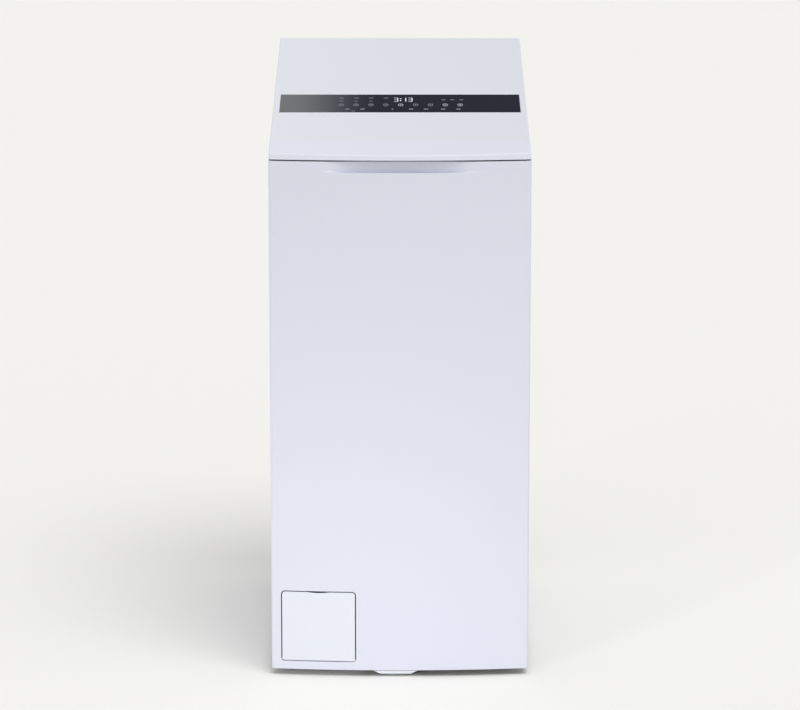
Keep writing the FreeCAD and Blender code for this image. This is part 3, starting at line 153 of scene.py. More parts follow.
# ---- What the glass mirrors, as spans of the direction's three coordinates ----
WINDOW_STRENGTH = 0.90
BACKDROP_STRENGTH = 0.115
WINDOW_EDGE = (-0.031, -0.008)
PATCH_FOOT = (0.26, 0.36)
PATCH_TOP = (0.58, 0.70)
PATCH_BEHIND = (0.5, 0.7)
PATCH_SIDE = (0.10, 0.25)


def add_camera():
    data = bpy.data.cameras.new("camera")
    data.lens = LENS_MM
    data.sensor_width = SENSOR_MM
    camera = bpy.data.objects.new("camera", data)
    camera.location = (0, CAMERA_Y, CAMERA_Z)
    camera.rotation_euler = (math.pi / 2 - CAMERA_PITCH, 0, 0)
    bpy.context.scene.collection.objects.link(camera)
    bpy.context.scene.camera = camera


def add_light():
    add_world()
    data = bpy.data.lights.new("key", "SUN")
    data.energy = SUN_STRENGTH
    data.angle = SUN_SPREAD
    key = bpy.data.objects.new("key", data)
    away = Vector((
        math.sin(SUN_AZIMUTH) * math.cos(SUN_HEIGHT),
        -math.cos(SUN_AZIMUTH) * math.cos(SUN_HEIGHT),
        math.sin(SUN_HEIGHT),
    ))
    key.rotation_euler = away.to_track_quat("Z", "Y").to_euler()
    bpy.context.scene.collection.objects.link(key)
    fill = bpy.data.lights.new("low_fill", "SPOT")
    fill.energy = FILL_WATTS
    fill.spot_size = FILL_CONE
    fill.spot_blend = 1.0
    fill.shadow_soft_size = FILL_SIZE
    lamp = bpy.data.objects.new("low_fill", fill)
    lamp.location = FILL_PLACE
    lamp.rotation_euler = (Vector(FILL_PLACE) - Vector(FILL_TARGET)).to_track_quat("Z", "Y").to_euler()
    lamp.visible_glossy = False
    bpy.context.scene.collection.objects.link(lamp)
    bpy.context.scene.view_settings.view_transform = "Standard"


def add_world():
    """A soft white room; high up behind, a window on the left gives way to a dark backdrop on the right."""
    world = bpy.data.worlds.new("soft_room")
    world.use_nodes = True
    tree = world.node_tree
    back = tree.nodes["Background"]
    back.inputs["Color"].default_value = (1.0, 1.0, 1.0, 1)
    place = tree.nodes.new("ShaderNodeTexCoord")
    parts = tree.nodes.new("ShaderNodeSeparateXYZ")
    tree.links.new(place.outputs["Generated"], parts.inputs["Vector"])

    def band(source, span, low, high):
        node = tree.nodes.new("ShaderNodeMapRange")
        node.interpolation_type = "SMOOTHSTEP"
        for name, value in (("From Min", span[0]), ("From Max", span[1]), ("To Min", low), ("To Max", high)):
            node.inputs[name].default_value = value
        tree.links.new(source, node.inputs["Value"])
        return node.outputs["Result"]

    def maths(operation, *values):
        node = tree.nodes.new("ShaderNodeMath")
        node.operation = operation
        for k, value in enumerate(values):
            if isinstance(value, float):
                node.inputs[k].default_value = value
            else:
                tree.links.new(value, node.inputs[k])
        return node.outputs[0]

    patch = band(parts.outputs["X"], WINDOW_EDGE, WINDOW_STRENGTH, BACKDROP_STRENGTH)
    over_foot = band(parts.outputs["Z"], PATCH_FOOT, 0.0, 1.0)
    under_top = band(parts.outputs["Z"], PATCH_TOP, 1.0, 0.0)
    high_up = maths("MULTIPLY", over_foot, under_top)
    behind = band(parts.outputs["Y"], PATCH_BEHIND, 0.0, 1.0)
    across = band(maths("ABSOLUTE", parts.outputs["X"]), PATCH_SIDE, 1.0, 0.0)
    mask = maths("MULTIPLY", maths("MULTIPLY", high_up, behind), across)
    plain = maths("MULTIPLY", maths("SUBTRACT", 1.0, mask), WORLD_STRENGTH)
    total = maths("ADD", plain, maths("MULTIPLY", mask, patch))
    tree.links.new(total, back.inputs["Strength"])
    bpy.context.scene.world = world


def add_floor():
    mesh = bpy.data.meshes.new("floor")
    corners = [(FLOOR_REACH * x, FLOOR_REACH * y, 0) for x, y in ((-1, -1), (1, -1), (1, 1), (-1, 1))]
    mesh.from_pydata(corners, [], [(0, 1, 2, 3)])
    floor = bpy.data.objects.new("floor", mesh)
    bpy.context.scene.collection.objects.link(floor)
    material = new_material("floor_paint", FLOOR_COLOUR, 0.9, specular=0.1)
    mesh.materials.append(material)


# ---- Materials ----
def new_material(name, colour, roughness, metallic=0.0, specular=0.5, coat=0.0):
    material = bpy.data.materials.new(name)
    material.use_nodes = True
    shader = material.node_tree.nodes["Principled BSDF"]
    shader.inputs["Base Color"].default_value = (*colour, 1)
    shader.inputs["Roughness"].default_value = roughness
    shader.inputs["Metallic"].default_value = metallic
    shader.inputs["Specular IOR Level"].default_value = specular
    shader.inputs["Coat Weight"].default_value = coat
    shader.inputs["Coat Roughness"].default_value = 0.06
    return material


def noise_of(material, scale, stretch=(1, 1, 1), detail=3.0):
    """Object-space noise, scale in cycles per metre."""
    tree = material.node_tree
    place = tree.nodes.new("ShaderNodeTexCoord")
    mapping = tree.nodes.new("ShaderNodeMapping")
    mapping.inputs["Scale"].default_value = stretch
    noise = tree.nodes.new("ShaderNodeTexNoise")
    noise.inputs["Scale"].default_value = scale
    noise.inputs["Detail"].default_value = detail
    tree.links.new(place.outputs["Object"], mapping.inputs["Vector"])
    tree.links.new(mapping.outputs["Vector"], noise.inputs["Vector"])
    return noise


def add_bump(material, source, strength, distance):
    tree = material.node_tree
    bump = tree.nodes.new("ShaderNodeBump")
    bump.inputs["Strength"].default_value = strength
    bump.inputs["Distance"].default_value = distance
    tree.links.new(source, bump.inputs["Height"])
    tree.links.new(bump.outputs["Normal"], tree.nodes["Principled BSDF"].inputs["Normal"])


def add_ramp(material, source, low, high, socket):
    """The socket runs from low to high with the source."""
    tree = material.node_tree
    mix = tree.nodes.new("ShaderNodeMapRange")
    mix.inputs["From Min"].default_value = 0.3
    mix.inputs["From Max"].default_value = 0.7
    mix.inputs["To Min"].default_value = low
    mix.inputs["To Max"].default_value = high
    tree.links.new(source, mix.inputs["Value"])
    tree.links.new(mix.outputs["Result"], tree.nodes["Principled BSDF"].inputs[socket])


def add_colours(material, source, low, high):
    tree = material.node_tree
    ramp = tree.nodes.new("ShaderNodeValToRGB")
    ramp.color_ramp.elements[0].position = 0.3
    ramp.color_ramp.elements[0].color = (*low, 1)
    ramp.color_ramp.elements[1].position = 0.7
    ramp.color_ramp.elements[1].color = (*high, 1)
    tree.links.new(source, ramp.inputs["Fac"])
    tree.links.new(ramp.outputs["Color"], tree.nodes["Principled BSDF"].inputs["Base Color"])


def painted_shading_along_y(material, y, half, low, high):
    """Painted shading: base colour low in front of y, high behind it, in the object's own space, standing in for
    light that falls differently on the two sides of y.
    """
    tree = material.node_tree
    place = tree.nodes.new("ShaderNodeTexCoord")
    parts = tree.nodes.new("ShaderNodeSeparateXYZ")
    span = tree.nodes.new("ShaderNodeMapRange")
    span.inputs["From Min"].default_value = y - half
    span.inputs["From Max"].default_value = y + half
    span.inputs["To Min"].default_value = 0.3
    span.inputs["To Max"].default_value = 0.7
    tree.links.new(place.outputs["Object"], parts.inputs["Vector"])
    tree.links.new(parts.outputs["Y"], span.inputs["Value"])
    add_colours(material, span.outputs["Result"], low, high)


def enamel(name, colour, roughness):
    material = new_material(name, colour, roughness, coat=0.3)
    add_bump(material, noise_of(material, 420.0).outputs["Fac"], 0.05, 0.2 * MM)
    return material


def moulded(name, colour, roughness, grain):
    material = new_material(name, colour, roughness, specular=0.4)
    add_bump(material, noise_of(material, 1500.0).outputs["Fac"], grain, 0.1 * MM)
    return material


def brushed(name, colour, roughness, stretch):
    material = new_material(name, colour, roughness, metallic=1.0)
    grain = noise_of(material, 300.0, stretch, 4.0)
    add_ramp(material, grain.outputs["Fac"], roughness - 0.08, roughness + 0.1, "Roughness")
    add_bump(material, grain.outputs["Fac"], 0.08, 0.1 * MM)
    return material


def galvanised(name):
    material = new_material(name, (0.55, 0.57, 0.59), 0.42, metallic=0.9)
    tree = material.node_tree
    place = tree.nodes.new("ShaderNodeTexCoord")
    flakes = tree.nodes.new("ShaderNodeTexVoronoi")
    flakes.inputs["Scale"].default_value = 160.0
    tree.links.new(place.outputs["Object"], flakes.inputs["Vector"])
    add_colours(material, flakes.outputs["Color"], (0.52, 0.54, 0.56), (0.58, 0.60, 0.62))
    return material


def rubber(name, colour):
    material = new_material(name, colour, 0.62, specular=0.3)
    add_bump(material, noise_of(material, 900.0).outputs["Fac"], 0.15, 0.1 * MM)
    return material


def concrete(name):
    material = new_material(name, (0.40, 0.39, 0.37), 0.9, specular=0.2)
    grain = noise_of(material, 160.0, detail=8.0)
    add_colours(material, grain.outputs["Fac"], (0.30, 0.29, 0.275), (0.48, 0.47, 0.45))
    add_bump(material, grain.outputs["Fac"], 0.5, 0.6 * MM)
    return material


def cast_alloy(name):
    material = new_material(name, (0.58, 0.58, 0.59), 0.5, metallic=0.9)
    add_bump(material, noise_of(material, 700.0).outputs["Fac"], 0.25, 0.2 * MM)
    return material


def circuit_board(name):
    material = new_material(name, (0.03, 0.16, 0.07), 0.45)
    tracks = noise_of(material, 260.0, (1, 4, 1), 0.0)
    add_colours(material, tracks.outputs["Fac"], (0.02, 0.11, 0.05), (0.06, 0.24, 0.10))
    return material


def dark_glass(name):
    material = new_material(name, (0.003, 0.0065, 0.021), 0.07)
    add_bump(material, noise_of(material, 30.0).outputs["Fac"], 0.02, 0.1 * MM)
    return material


def lit_mark(name, colour, strength):
    material = new_material(name, colour, 0.5, specular=0.1)
    shader = material.node_tree.nodes["Principled BSDF"]
    shader.inputs["Emission Color"].default_value = (*colour, 1)
    shader.inputs["Emission Strength"].default_value = strength
    add_ramp(material, noise_of(material, 2000.0).outputs["Fac"], 0.45, 0.55, "Roughness")
    return material


MATERIALS = {
    "white_enamel": enamel("white_enamel", (0.705, 0.722, 0.825), 0.32),
    "white_plastic": moulded("white_plastic", (0.748, 0.772, 0.832), 0.34, 0.04),
    "pale_plastic": moulded("pale_plastic", (0.70, 0.72, 0.76), 0.42, 0.1),
    "grey_plastic": moulded("grey_plastic", (0.34, 0.36, 0.39), 0.45, 0.1),
    "dark_plastic": moulded("dark_plastic", (0.03, 0.03, 0.034), 0.5, 0.2),
    "tub_plastic": moulded("tub_plastic", (0.27, 0.29, 0.30), 0.5, 0.3),
    "galvanised_steel": galvanised("galvanised_steel"),
    "drum_steel": brushed("drum_steel", (0.62, 0.62, 0.63), 0.24, (12, 0.4, 0.4)),
    "bearing_steel": brushed("bearing_steel", (0.5, 0.5, 0.51), 0.22, (0.3, 6, 6)),
    "zinc_screw": brushed("zinc_screw", (0.6, 0.6, 0.62), 0.3, (4, 4, 1)),
    "black_rubber": rubber("black_rubber", (0.018, 0.018, 0.019)),
    "grey_rubber": rubber("grey_rubber", (0.17, 0.175, 0.18)),
    "dark_glass": dark_glass("dark_glass"),
    "board_green": circuit_board("board_green"),
    "cast_concrete": concrete("cast_concrete"),
    "cast_alloy": cast_alloy("cast_alloy"),
}
MARK_BRIGHT = lit_mark("mark_bright", (0.70, 0.72, 0.78), 0.40)
MARK_MIDDLE = lit_mark("mark_middle", (0.30, 0.31, 0.35), 0.35)
MARK_DIM = lit_mark("mark_dim", (0.14, 0.14, 0.165), 0.45)
DOOR_WHITE = enamel("door_white", (0.738, 0.762, 0.832), 0.32)
LID_WHITE = moulded("lid_white", (0.748, 0.772, 0.832), 0.34, 0.04)


# ---- Mesh helpers ----
class Skin:
    """Points with normals and faces, from which one piece is made."""

    def __init__(self):
        self.points = []
        self.normals = []
        self.faces = []

    def add(self, point, normal):
        self.points.append(Vector(point))
        self.normals.append(Vector(normal).normalized())
        return len(self.points) - 1

    def strip(self, first, second, flip, closed):
        count = len(first) if closed else len(first) - 1
        for i in range(count):
            j = (i + 1) % len(first)
            face = (first[i], second[i], second[j], first[j])
            self.faces.append(tuple(reversed(face)) if flip else face)

    def mesh(self, name):
        mesh = bpy.data.meshes.new(name)
        mesh.from_pydata([tuple(p) for p in self.points], [], self.faces)
        mesh.polygons.foreach_set("use_smooth", [True] * len(mesh.polygons))
        mesh.update()
        mesh.normals_split_custom_set_from_vertices([tuple(n) for n in self.normals])
        return mesh

    def piece(self, name, slot, body, *replaced):
        return finish_piece(name, self.mesh(name), slot, body, *replaced)


def finish_piece(name, mesh, slot, body, *replaced, material=None):
    mesh.materials.clear()
    mesh.materials.append(material or MATERIALS[slot])
    piece = bpy.data.objects.new(name, mesh)
    bpy.context.scene.collection.objects.link(piece)
    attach(piece, body)
    if replaced:
        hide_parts(*replaced)
    return piece


def rounded_loop(low, high, radii, step, arc_steps=4):
    """Points and outward directions counter-clockwise round a rectangle.

    The two radii are those of its lower and its upper corners.
    """
    low_r, high_r = radii
    corners = [
        (high[0] - low_r, low[1] + low_r, low_r, -90),
        (high[0] - high_r, high[1] - high_r, high_r, 0),
        (low[0] + high_r, high[1] - high_r, high_r, 90),
        (low[0] + low_r, low[1] + low_r, low_r, 180),
    ]
    loop = []
    for k, (u, v, radius, start) in enumerate(corners):
        for i in range(arc_steps + 1):
            angle = math.radians(start + 90 * i / arc_steps)
            way = Vector((math.cos(angle), math.sin(angle)))
            loop.append((Vector((u, v)) + way * radius, way))
        here = loop[-1][0]
        next_u, next_v, next_r, _ = corners[(k + 1) % 4]
        there = Vector((next_u, next_v)) + way * next_r
        count = max(1, math.ceil((there - here).length / step))
        for i in range(1, count):
            loop.append((here.lerp(there, i / count), way))
    return loop


def local_frame(place, spot):
    """Point, outward normal and the two surface directions at a spot of a surface."""
    h = 0.15 * MM
    u, v = spot
    point = place(u, v)
    along_u = (place(u + h, v) - place(u - h, v)).normalized()
    along_v = (place(u, v + h) - place(u, v - h)).normalized()
    return point, along_u.cross(along_v).normalized(), along_u, along_v


def add_hem(skin, loop, out_sign, place, radius, wall, steps=3):
    """Rounds a sheet's edge off and turns it inward; returns where the flat skin stops, with its points."""
    rings = [[] for _ in range(steps + 2)]
    stops = []
    for spot, way in loop:
        out = way * out_sign
        stop = spot - out * radius
        point, normal, along_u, along_v = local_frame(place, stop)
        out_3d = (along_u * out.x + along_v * out.y).normalized()
        stops.append(stop)
        for k in range(steps + 1):
            angle = math.pi / 2 * k / steps
            ring_normal = normal * math.cos(angle) + out_3d * math.sin(angle)
            rings[k].append(skin.add(point - normal * radius + ring_normal * radius, ring_normal))
        rings[-1].append(skin.add(point + out_3d * radius - normal * (radius + wall), out_3d))
    for first, second in zip(rings[:-1], rings[1:]):
        skin.strip(first, second, out_sign < 0, True)
    return stops, rings[0]


def add_rod(skin, start, end, radius, count=24):
    """A closed round rod."""
    along = (end - start).normalized()
    side = along.orthogonal().normalized()
    other = along.cross(side)
    rings = [[], []]
    for ring, place in zip(rings, (start, end)):
        for k in range(count):
            angle = 2 * math.pi * k / count
            way = side * math.cos(angle) + other * math.sin(angle)
            ring.append(skin.add(place + way * radius, way))
    skin.strip(rings[0], rings[1], True, True)
    for ring, way in zip(rings, (-along, along)):
        cap = [skin.add(skin.points[i], way) for i in ring]
        skin.faces.append(tuple(reversed(cap)) if way is not along else tuple(cap))


def inside_loop(spot, stops):
    """True if a spot is inside a closed outline."""
    inside = False
    x, y = spot
    for i, a in enumerate(stops):
        b = stops[i - 1]
        if (a.y > y) != (b.y > y) and x < (b.x - a.x) * (y - a.y) / (b.y - a.y) + a.x:
            inside = not inside
    return inside


def fill_sheet(skin, outline, holes, spots, place, clear):
    """Triangles between an outline and its holes, through the given spots."""
    flat = []
    numbers = []
    edges = []
    for stops, ring in [outline] + holes:
        start = len(flat)
        flat += stops
        numbers += ring
        edges += [(start + i, start + (i + 1) % len(stops)) for i in range(len(stops))]
    borders = [stops for stops, ring in [outline] + holes]
    edge_points = [stop for stops in borders for stop in stops]
    cells = {}
    for stop in edge_points:
        cells.setdefault((int(stop.x // clear), int(stop.y // clear)), []).append(stop)

    def near_edge(spot):
        cx, cy = int(spot.x // clear), int(spot.y // clear)
        around = [cells.get((cx + i, cy + j), []) for i in (-1, 0, 1) for j in (-1, 0, 1)]
        return any((stop - spot).length < clear for group in around for stop in group)

    def on_sheet(spot):
        return inside_loop(spot, borders[0]) and not any(inside_loop(spot, b) for b in borders[1:])

    for spot in spots:
        if near_edge(spot) or not on_sheet(spot):
            continue
        point, normal, _, _ = local_frame(place, spot)
        flat.append(spot)
        numbers.append(skin.add(point, normal))
    points, _, faces, sources, _, _ = delaunay_2d_cdt(flat, edges, [], 0, 1e-7)
    for face in faces:
        centre = sum((points[i] for i in face), Vector((0, 0))) / len(face)
        if on_sheet(centre):
            skin.faces.append(tuple(numbers[sources[i][0]] for i in face))


def spots_between(us, vs):
    return [Vector((u, v)) for u in us for v in vs]


def steps_between(low, high, step):
    count = max(1, math.ceil((high - low) / step))
    return [low + (high - low) * i / count for i in range(count + 1)]


def smooth(t):
    t = min(max(t, 0.0), 1.0)
    return t * t * (3 - 2 * t)


# ---- Enamelled front ----
def outline_at(run):
    """Point and outward normal on the plan outline, by length from the middle of the front."""
    side = -1.0 if run < 0 else 1.0
    run = abs(run)
    if run <= BOW_RUN:
        angle = run / BOW_R
        way = Vector((math.sin(angle), -math.cos(angle)))
        point = Vector((0, BOW_CENTRE_Y)) + way * BOW_R
    elif run <= BOW_RUN + CORNER_RUN:
        angle = CORNER_ANGLE + (run - BOW_RUN) / CORNER_R
        way = Vector((math.sin(angle), -math.cos(angle)))
        point = Vector((CORNER_X, CORNER_Y)) + way * CORNER_R
    else:
        way = Vector((1, 0))
        point = Vector((HALF_WIDTH, CORNER_Y + run - BOW_RUN - CORNER_RUN))
    return Vector((side * point.x, point.y)), Vector((side * way.x, way.y))


def recess_path(v):
    """How deep and how far down the finger recess is, each from 0 to 1, at a spot up the front."""
    if v <= RECESS_EDGE_Z - RECESS_LIP:
        return 0.0, 0.0
    if v <= RECESS_EDGE_Z + RECESS_LIP:
        t = (v - RECESS_EDGE_Z + RECESS_LIP) / (2 * RECESS_LIP)
        return LIP_DEPTH * t * t, LIP_DROP * t * t
    if v <= RECESS_FLOOR_V:
        t = (v - RECESS_EDGE_Z - RECESS_LIP) / (RECESS_FLOOR_V - RECESS_EDGE_Z - RECESS_LIP)
        rise = math.sin(t * math.pi / 2)
        return LIP_DEPTH + (1 - LIP_DEPTH) * rise, LIP_DROP + (1 - LIP_DROP) * rise
    t = (v - RECESS_FLOOR_V) / (PANEL_HIGH.z - RECESS_FLOOR_V)
    return 1.0, max(0.0, 1 - t)


def front_surface(u, v):
    point, _ = outline_at(u)
    across = max(0.0, 1 - (point.x / RECESS_HALF) ** 2)
    across = across * smooth((1 - abs(point.x) / RECESS_HALF) / RECESS_FADE)
    depth, drop = recess_path(v)
    return Vector((point.x, point.y + RECESS_DEPTH * across * depth, v - RECESS_DROP * across * drop))


def front_panel():
    skin = Skin()
    corner = BOW_RUN + CORNER_RUN
    reach = corner + PANEL_HIGH.y - CORNER_Y
    loop = rounded_loop((-reach, PANEL_LOW.z), (reach, PANEL_HIGH.z), (1.2 * MM, 1.2 * MM), 4 * MM, 3)
    outline = add_hem(skin, loop, 1, front_surface, 0.9 * MM, 1.6 * MM)
    gap_low = (DOOR_X0 - DOOR_GAP, DOOR_Z0 - DOOR_GAP)
    gap_high = (DOOR_X1 + DOOR_GAP, DOOR_Z1 + DOOR_GAP)
    radii = (DOOR_FOOT_CORNER + DOOR_GAP, DOOR_CORNER + DOOR_GAP)
    gap_loop = rounded_loop(gap_low, gap_high, radii, 6 * MM, 8)
    hole = add_hem(skin, gap_loop, -1, front_surface, 0.5 * MM, 9 * MM)
    us = steps_between(-BOW_RUN, BOW_RUN, 8 * MM)
    for side in (-1, 1):
        us += [side * run for run in steps_between(BOW_RUN, corner, CORNER_STEP)[1:]]
        us += [side * (corner + 4 * MM)]
    spots = spots_between(us, steps_between(PANEL_LOW.z, RECESS_EDGE_Z - 12 * MM, 16 * MM))
    recess_us = steps_between(-RECESS_HALF - 6 * MM, RECESS_HALF + 6 * MM, 3 * MM)
    outer_us = [u for u in us if abs(u) > RECESS_HALF + 9 * MM]
    recess_vs = steps_between(RECESS_EDGE_Z - 5 * MM, RECESS_EDGE_Z - RECESS_LIP, 1.5 * MM)
    recess_vs += steps_between(RECESS_EDGE_Z - RECESS_LIP, RECESS_FLOOR_V, 0.45 * MM)[1:]
    recess_vs += steps_between(RECESS_FLOOR_V, PANEL_HIGH.z, 1.5 * MM)[1:]
    spots += spots_between(recess_us + outer_us, recess_vs)
    fill_sheet(skin, outline, [hole], spots, front_surface, 0.6 * MM)
    skin.piece("front_panel_skin", "white_enamel", "cabinet", "front_panel")


def notch_at(x):
    """How deep the thumb notch is across the pump door, from 0 to 1."""
    return max(0.0, 1 - ((x - (DOOR_X0 + DOOR_X1) / 2) / NOTCH_HALF) ** 2)


def door_surface(u, v):
    point, _ = outline_at(u)
    lift = smooth((v - DOOR_Z1 + NOTCH_RUN) / NOTCH_RUN)
    return Vector((point.x, point.y + NOTCH_DEPTH * notch_at(point.x) * lift, v))


def pump_door():
    skin = Skin()
    low = (DOOR_X0, DOOR_Z0)
    high = (DOOR_X1, DOOR_Z1)
    loop = rounded_loop(low, high, (DOOR_FOOT_CORNER, DOOR_CORNER), 4 * MM, 8)
    cut = []
    for spot, way in loop:
        on_top = way.y > 0.9
        drop = NOTCH_DROP * notch_at(spot.x) if on_top else 0.0
        cut.append((Vector((spot.x, spot.y - drop)), way))
    outline = add_hem(skin, cut, 1, door_surface, 0.8 * MM, 2.0 * MM)
    back = [skin.add(skin.points[len(skin.points) - len(cut) + i], (0, 1, 0)) for i in range(len(cut))]
    skin.faces.append(tuple(reversed(back)))
    spots = spots_between(steps_between(DOOR_X0, DOOR_X1, 4 * MM), steps_between(DOOR_Z0, DOOR_Z1, 4 * MM))
    fill_sheet(skin, outline, [], spots, door_surface, 1.2 * MM)
    pivot = Vector(JOINTS["pump_door_hinge"]["pos_m"])
    along = Vector(JOINTS["pump_door_hinge"]["axis"]).normalized()
    for radius, half in (DOOR_BARREL, DOOR_PIN):
        add_rod(skin, pivot - along * half, pivot + along * half, radius)
    piece = skin.piece("pump_door_skin", "white_enamel", "pump_door", "pump_door")
    piece.data.materials[0] = DOOR_WHITE


# ---- Lid ----
LID_TOP_END_Y = HINGE.y - LID_REAR_R * math.sin(LID_ANGLE)
LID_TURN_END = math.pi - SEAM_ANGLE
LID_EDGE_R = 2.6 * MM
CREASE_HALF = 2.5 * MM
LID_EDGE_STEPS = 5
LID_WALL = 2.5 * MM
RIM_RISE = 3 * MM
STEM_X = 164 * MM
STEM_HALF = 6 * MM
STEM_TURN = math.radians(63.5)
BEAD_STEP = 1.4 * MM


def lid_height(y):
    plane = BREAK_Z + math.tan(LID_ANGLE) * (y - BREAK_Y)
    nose = BREAK_Z + NOSE_SLOPE * (y - BREAK_Y)
    part = smooth((y - BREAK_Y + CREASE_HALF) / (2 * CREASE_HALF))
    return nose * (1 - part) + plane * part


def lid_surface(u, v):
    """Along v the lid's top runs back, and past its end it turns round the rear bead."""
    if v <= LID_TOP_END_Y:
        return Vector((u, v, lid_height(v)))
    turn = -LID_ANGLE + (v - LID_TOP_END_Y) / LID_REAR_R
    return Vector((u, HINGE.y + LID_REAR_R * math.sin(turn), HINGE.z + LID_REAR_R * math.cos(turn)))


def seam_height(y):
    return SEAM_Z + math.tan(SEAM_ANGLE) * max(0.0, y - SEAM_START_Y)


def lid_outline(v_end):
    """Left rear to right rear round the front: spots in (x, v) and their outward directions."""
    side_run = BOW_RUN + CORNER_RUN
    runs = steps_between(-BOW_RUN, BOW_RUN, 5 * MM)
    corner = steps_between(BOW_RUN, side_run, CORNER_STEP)[1:]
    runs = [-run for run in reversed(corner)] + runs + corner
    front = []
    for run in runs:
        point, way = outline_at(run)
        front.append((point - way * LID_INSET, way))
    vs = steps_between(front[0][0].y, LID_TOP_END_Y, 8 * MM)[1:]
    vs += steps_between(LID_TOP_END_Y, v_end, BEAD_STEP)[1:]
    left = [(Vector((-LID_HALF, v)), Vector((-1, 0))) for v in reversed(vs)]
    right = [(Vector((LID_HALF, v)), Vector((1, 0))) for v in vs]
    return left + front + right, len(vs)


def lid_edge(skin, chain):
    """Rolls the lid's edge over; returns the spots where its top stops and the rows of points below them."""
    rings = [[] for _ in range(LID_EDGE_STEPS + 1)]
    wall_foot = []
    rim = [[], [], []]
    stops = []
    for spot, way in chain:
        _, normal, _, _ = local_frame(lid_surface, spot)
        wall = Vector((way.x, way.y, 0))
        stop = spot - way * LID_EDGE_R * (1 - normal.dot(wall))
        point, normal, _, _ = local_frame(lid_surface, stop)
        centre = point - normal * LID_EDGE_R
        turn = normal.angle(wall)
        stops.append(stop)
        for k, ring in enumerate(rings):
            ring_normal = normal.slerp(wall, k / LID_EDGE_STEPS) if turn > 1e-6 else normal
            ring.append(skin.add(centre + ring_normal * LID_EDGE_R, ring_normal))
        last = skin.points[rings[-1][-1]]
        foot = Vector((last.x, last.y, seam_height(last.y)))
        down = Vector((0, 0, -1))
        wall_foot.append(skin.add(foot, wall))
        rim[0].append(skin.add(foot, down))
        rim[1].append(skin.add(foot - wall * LID_WALL, down))
        rim[2].append(skin.add(foot - wall * LID_WALL + Vector((0, 0, RIM_RISE)), -wall))
    for first, second in zip(rings[:-1], rings[1:]):
        skin.strip(first, second, False, False)
    return stops, rings[0], rings[-1], wall_foot, rim


def lid_walls(skin, wall_top, wall_foot, rim, bead):
    """The lid's sides and front with their lower rim, and the round ends of the rear bead."""
    span = slice(bead, len(wall_top) - bead)
    skin.strip(wall_top[span], wall_foot[span], False, False)
    skin.strip(rim[0][span], rim[1][span], False, False)
    skin.strip(rim[1][span], rim[2][span], False, False)
    for top, foot in ((wall_top[:bead + 1], wall_foot[bead]), (wall_top[-bead - 1:], wall_foot[-bead - 1])):
        skin.faces.append(tuple(reversed(top + [foot])))


def lid_rear(skin, start, end, v_end):
    """Points along the bead's last line, from the right end of the edge back to the left one."""
    spots = []
    numbers = []
    for u in reversed(steps_between(start.x, end.x, 12 * MM)[1:-1]):
        point, normal, _, _ = local_frame(lid_surface, (u, v_end))
        numbers.append(skin.add(point, normal))
        spots.append(Vector((u, v_end)))
    return spots, numbers


def lid_holes(skin, v_end):
    """The opening round the glass and a notch for each hinge stem."""
    low = (-GLASS_HALF - GLASS_GAP, GLASS_FRONT_Y - GLASS_GAP)
    high = (GLASS_HALF + GLASS_GAP, GLASS_REAR_Y + GLASS_GAP)
    glass_loop = rounded_loop(low, high, (0.8 * MM, 0.8 * MM), 8 * MM, 3)
    holes = [add_hem(skin, glass_loop, -1, lid_surface, 0.3 * MM, 1.2 * MM)]
    stem_from = LID_TOP_END_Y + LID_REAR_R * (STEM_TURN + LID_ANGLE)
    for x in (-STEM_X, STEM_X):
        low = (x - STEM_HALF, stem_from)
        high = (x + STEM_HALF, v_end - 0.8 * MM)
        notch = rounded_loop(low, high, (0.8 * MM, 0.8 * MM), 3 * MM, 3)
        holes.append(add_hem(skin, notch, -1, lid_surface, 0.3 * MM, 1.6 * MM))
    return holes


def lid_spots(v_end):
    """Spots inside the lid's top, closer together at the crease and round the bead."""
    us = steps_between(-LID_HALF, LID_HALF, 12 * MM)
    vs = steps_between(FRONT_Y, BREAK_Y - CREASE_HALF, 8 * MM)
    vs += steps_between(BREAK_Y - CREASE_HALF, BREAK_Y + CREASE_HALF, 1 * MM)[1:]
    vs += steps_between(BREAK_Y + CREASE_HALF, LID_TOP_END_Y, 12 * MM)[1:]
    vs += steps_between(LID_TOP_END_Y, v_end, BEAD_STEP)[1:-1]
    return spots_between(us, vs)


def lid_shell():
    skin = Skin()
    v_end = LID_TOP_END_Y + LID_REAR_R * (LID_TURN_END + LID_ANGLE)
    chain, side_count = lid_outline(v_end)
    stops, top_edge, wall_top, wall_foot, rim = lid_edge(skin, chain)
    bead = sum(1 for stop in stops[:side_count] if stop.y > LID_TOP_END_Y)
    lid_walls(skin, wall_top, wall_foot, rim, bead)
    rear_spots, rear_points = lid_rear(skin, stops[0], stops[-1], v_end)
    outline = (stops + rear_spots, top_edge + rear_points)
    fill_sheet(skin, outline, lid_holes(skin, v_end), lid_spots(v_end), lid_surface, 0.7 * MM)
    piece = skin.piece("lid_shell_skin", "white_plastic", "lid", "lid_outer_shell")
    piece.data.materials[0] = LID_WHITE


def control_glass():
    skin = Skin()
    low = (-GLASS_HALF, GLASS_FRONT_Y)
    high = (GLASS_HALF, GLASS_REAR_Y)
    loop = rounded_loop(low, high, (0.6 * MM, 0.6 * MM), 12 * MM, 3)
    _, flat_edge = add_hem(skin, loop, 1, lid_surface, 0.35 * MM, 1.2 * MM)
    skin.faces.append(tuple(flat_edge))
    skin.piece("control_glass_pane", "dark_glass", "lid", "control_glass")


# ---- CAD pieces with their edges eased ----
WELD_GAP = 0.002 * MM
FLAT_ANGLE = math.radians(0.3)
EDGE_ANGLE = math.radians(32)


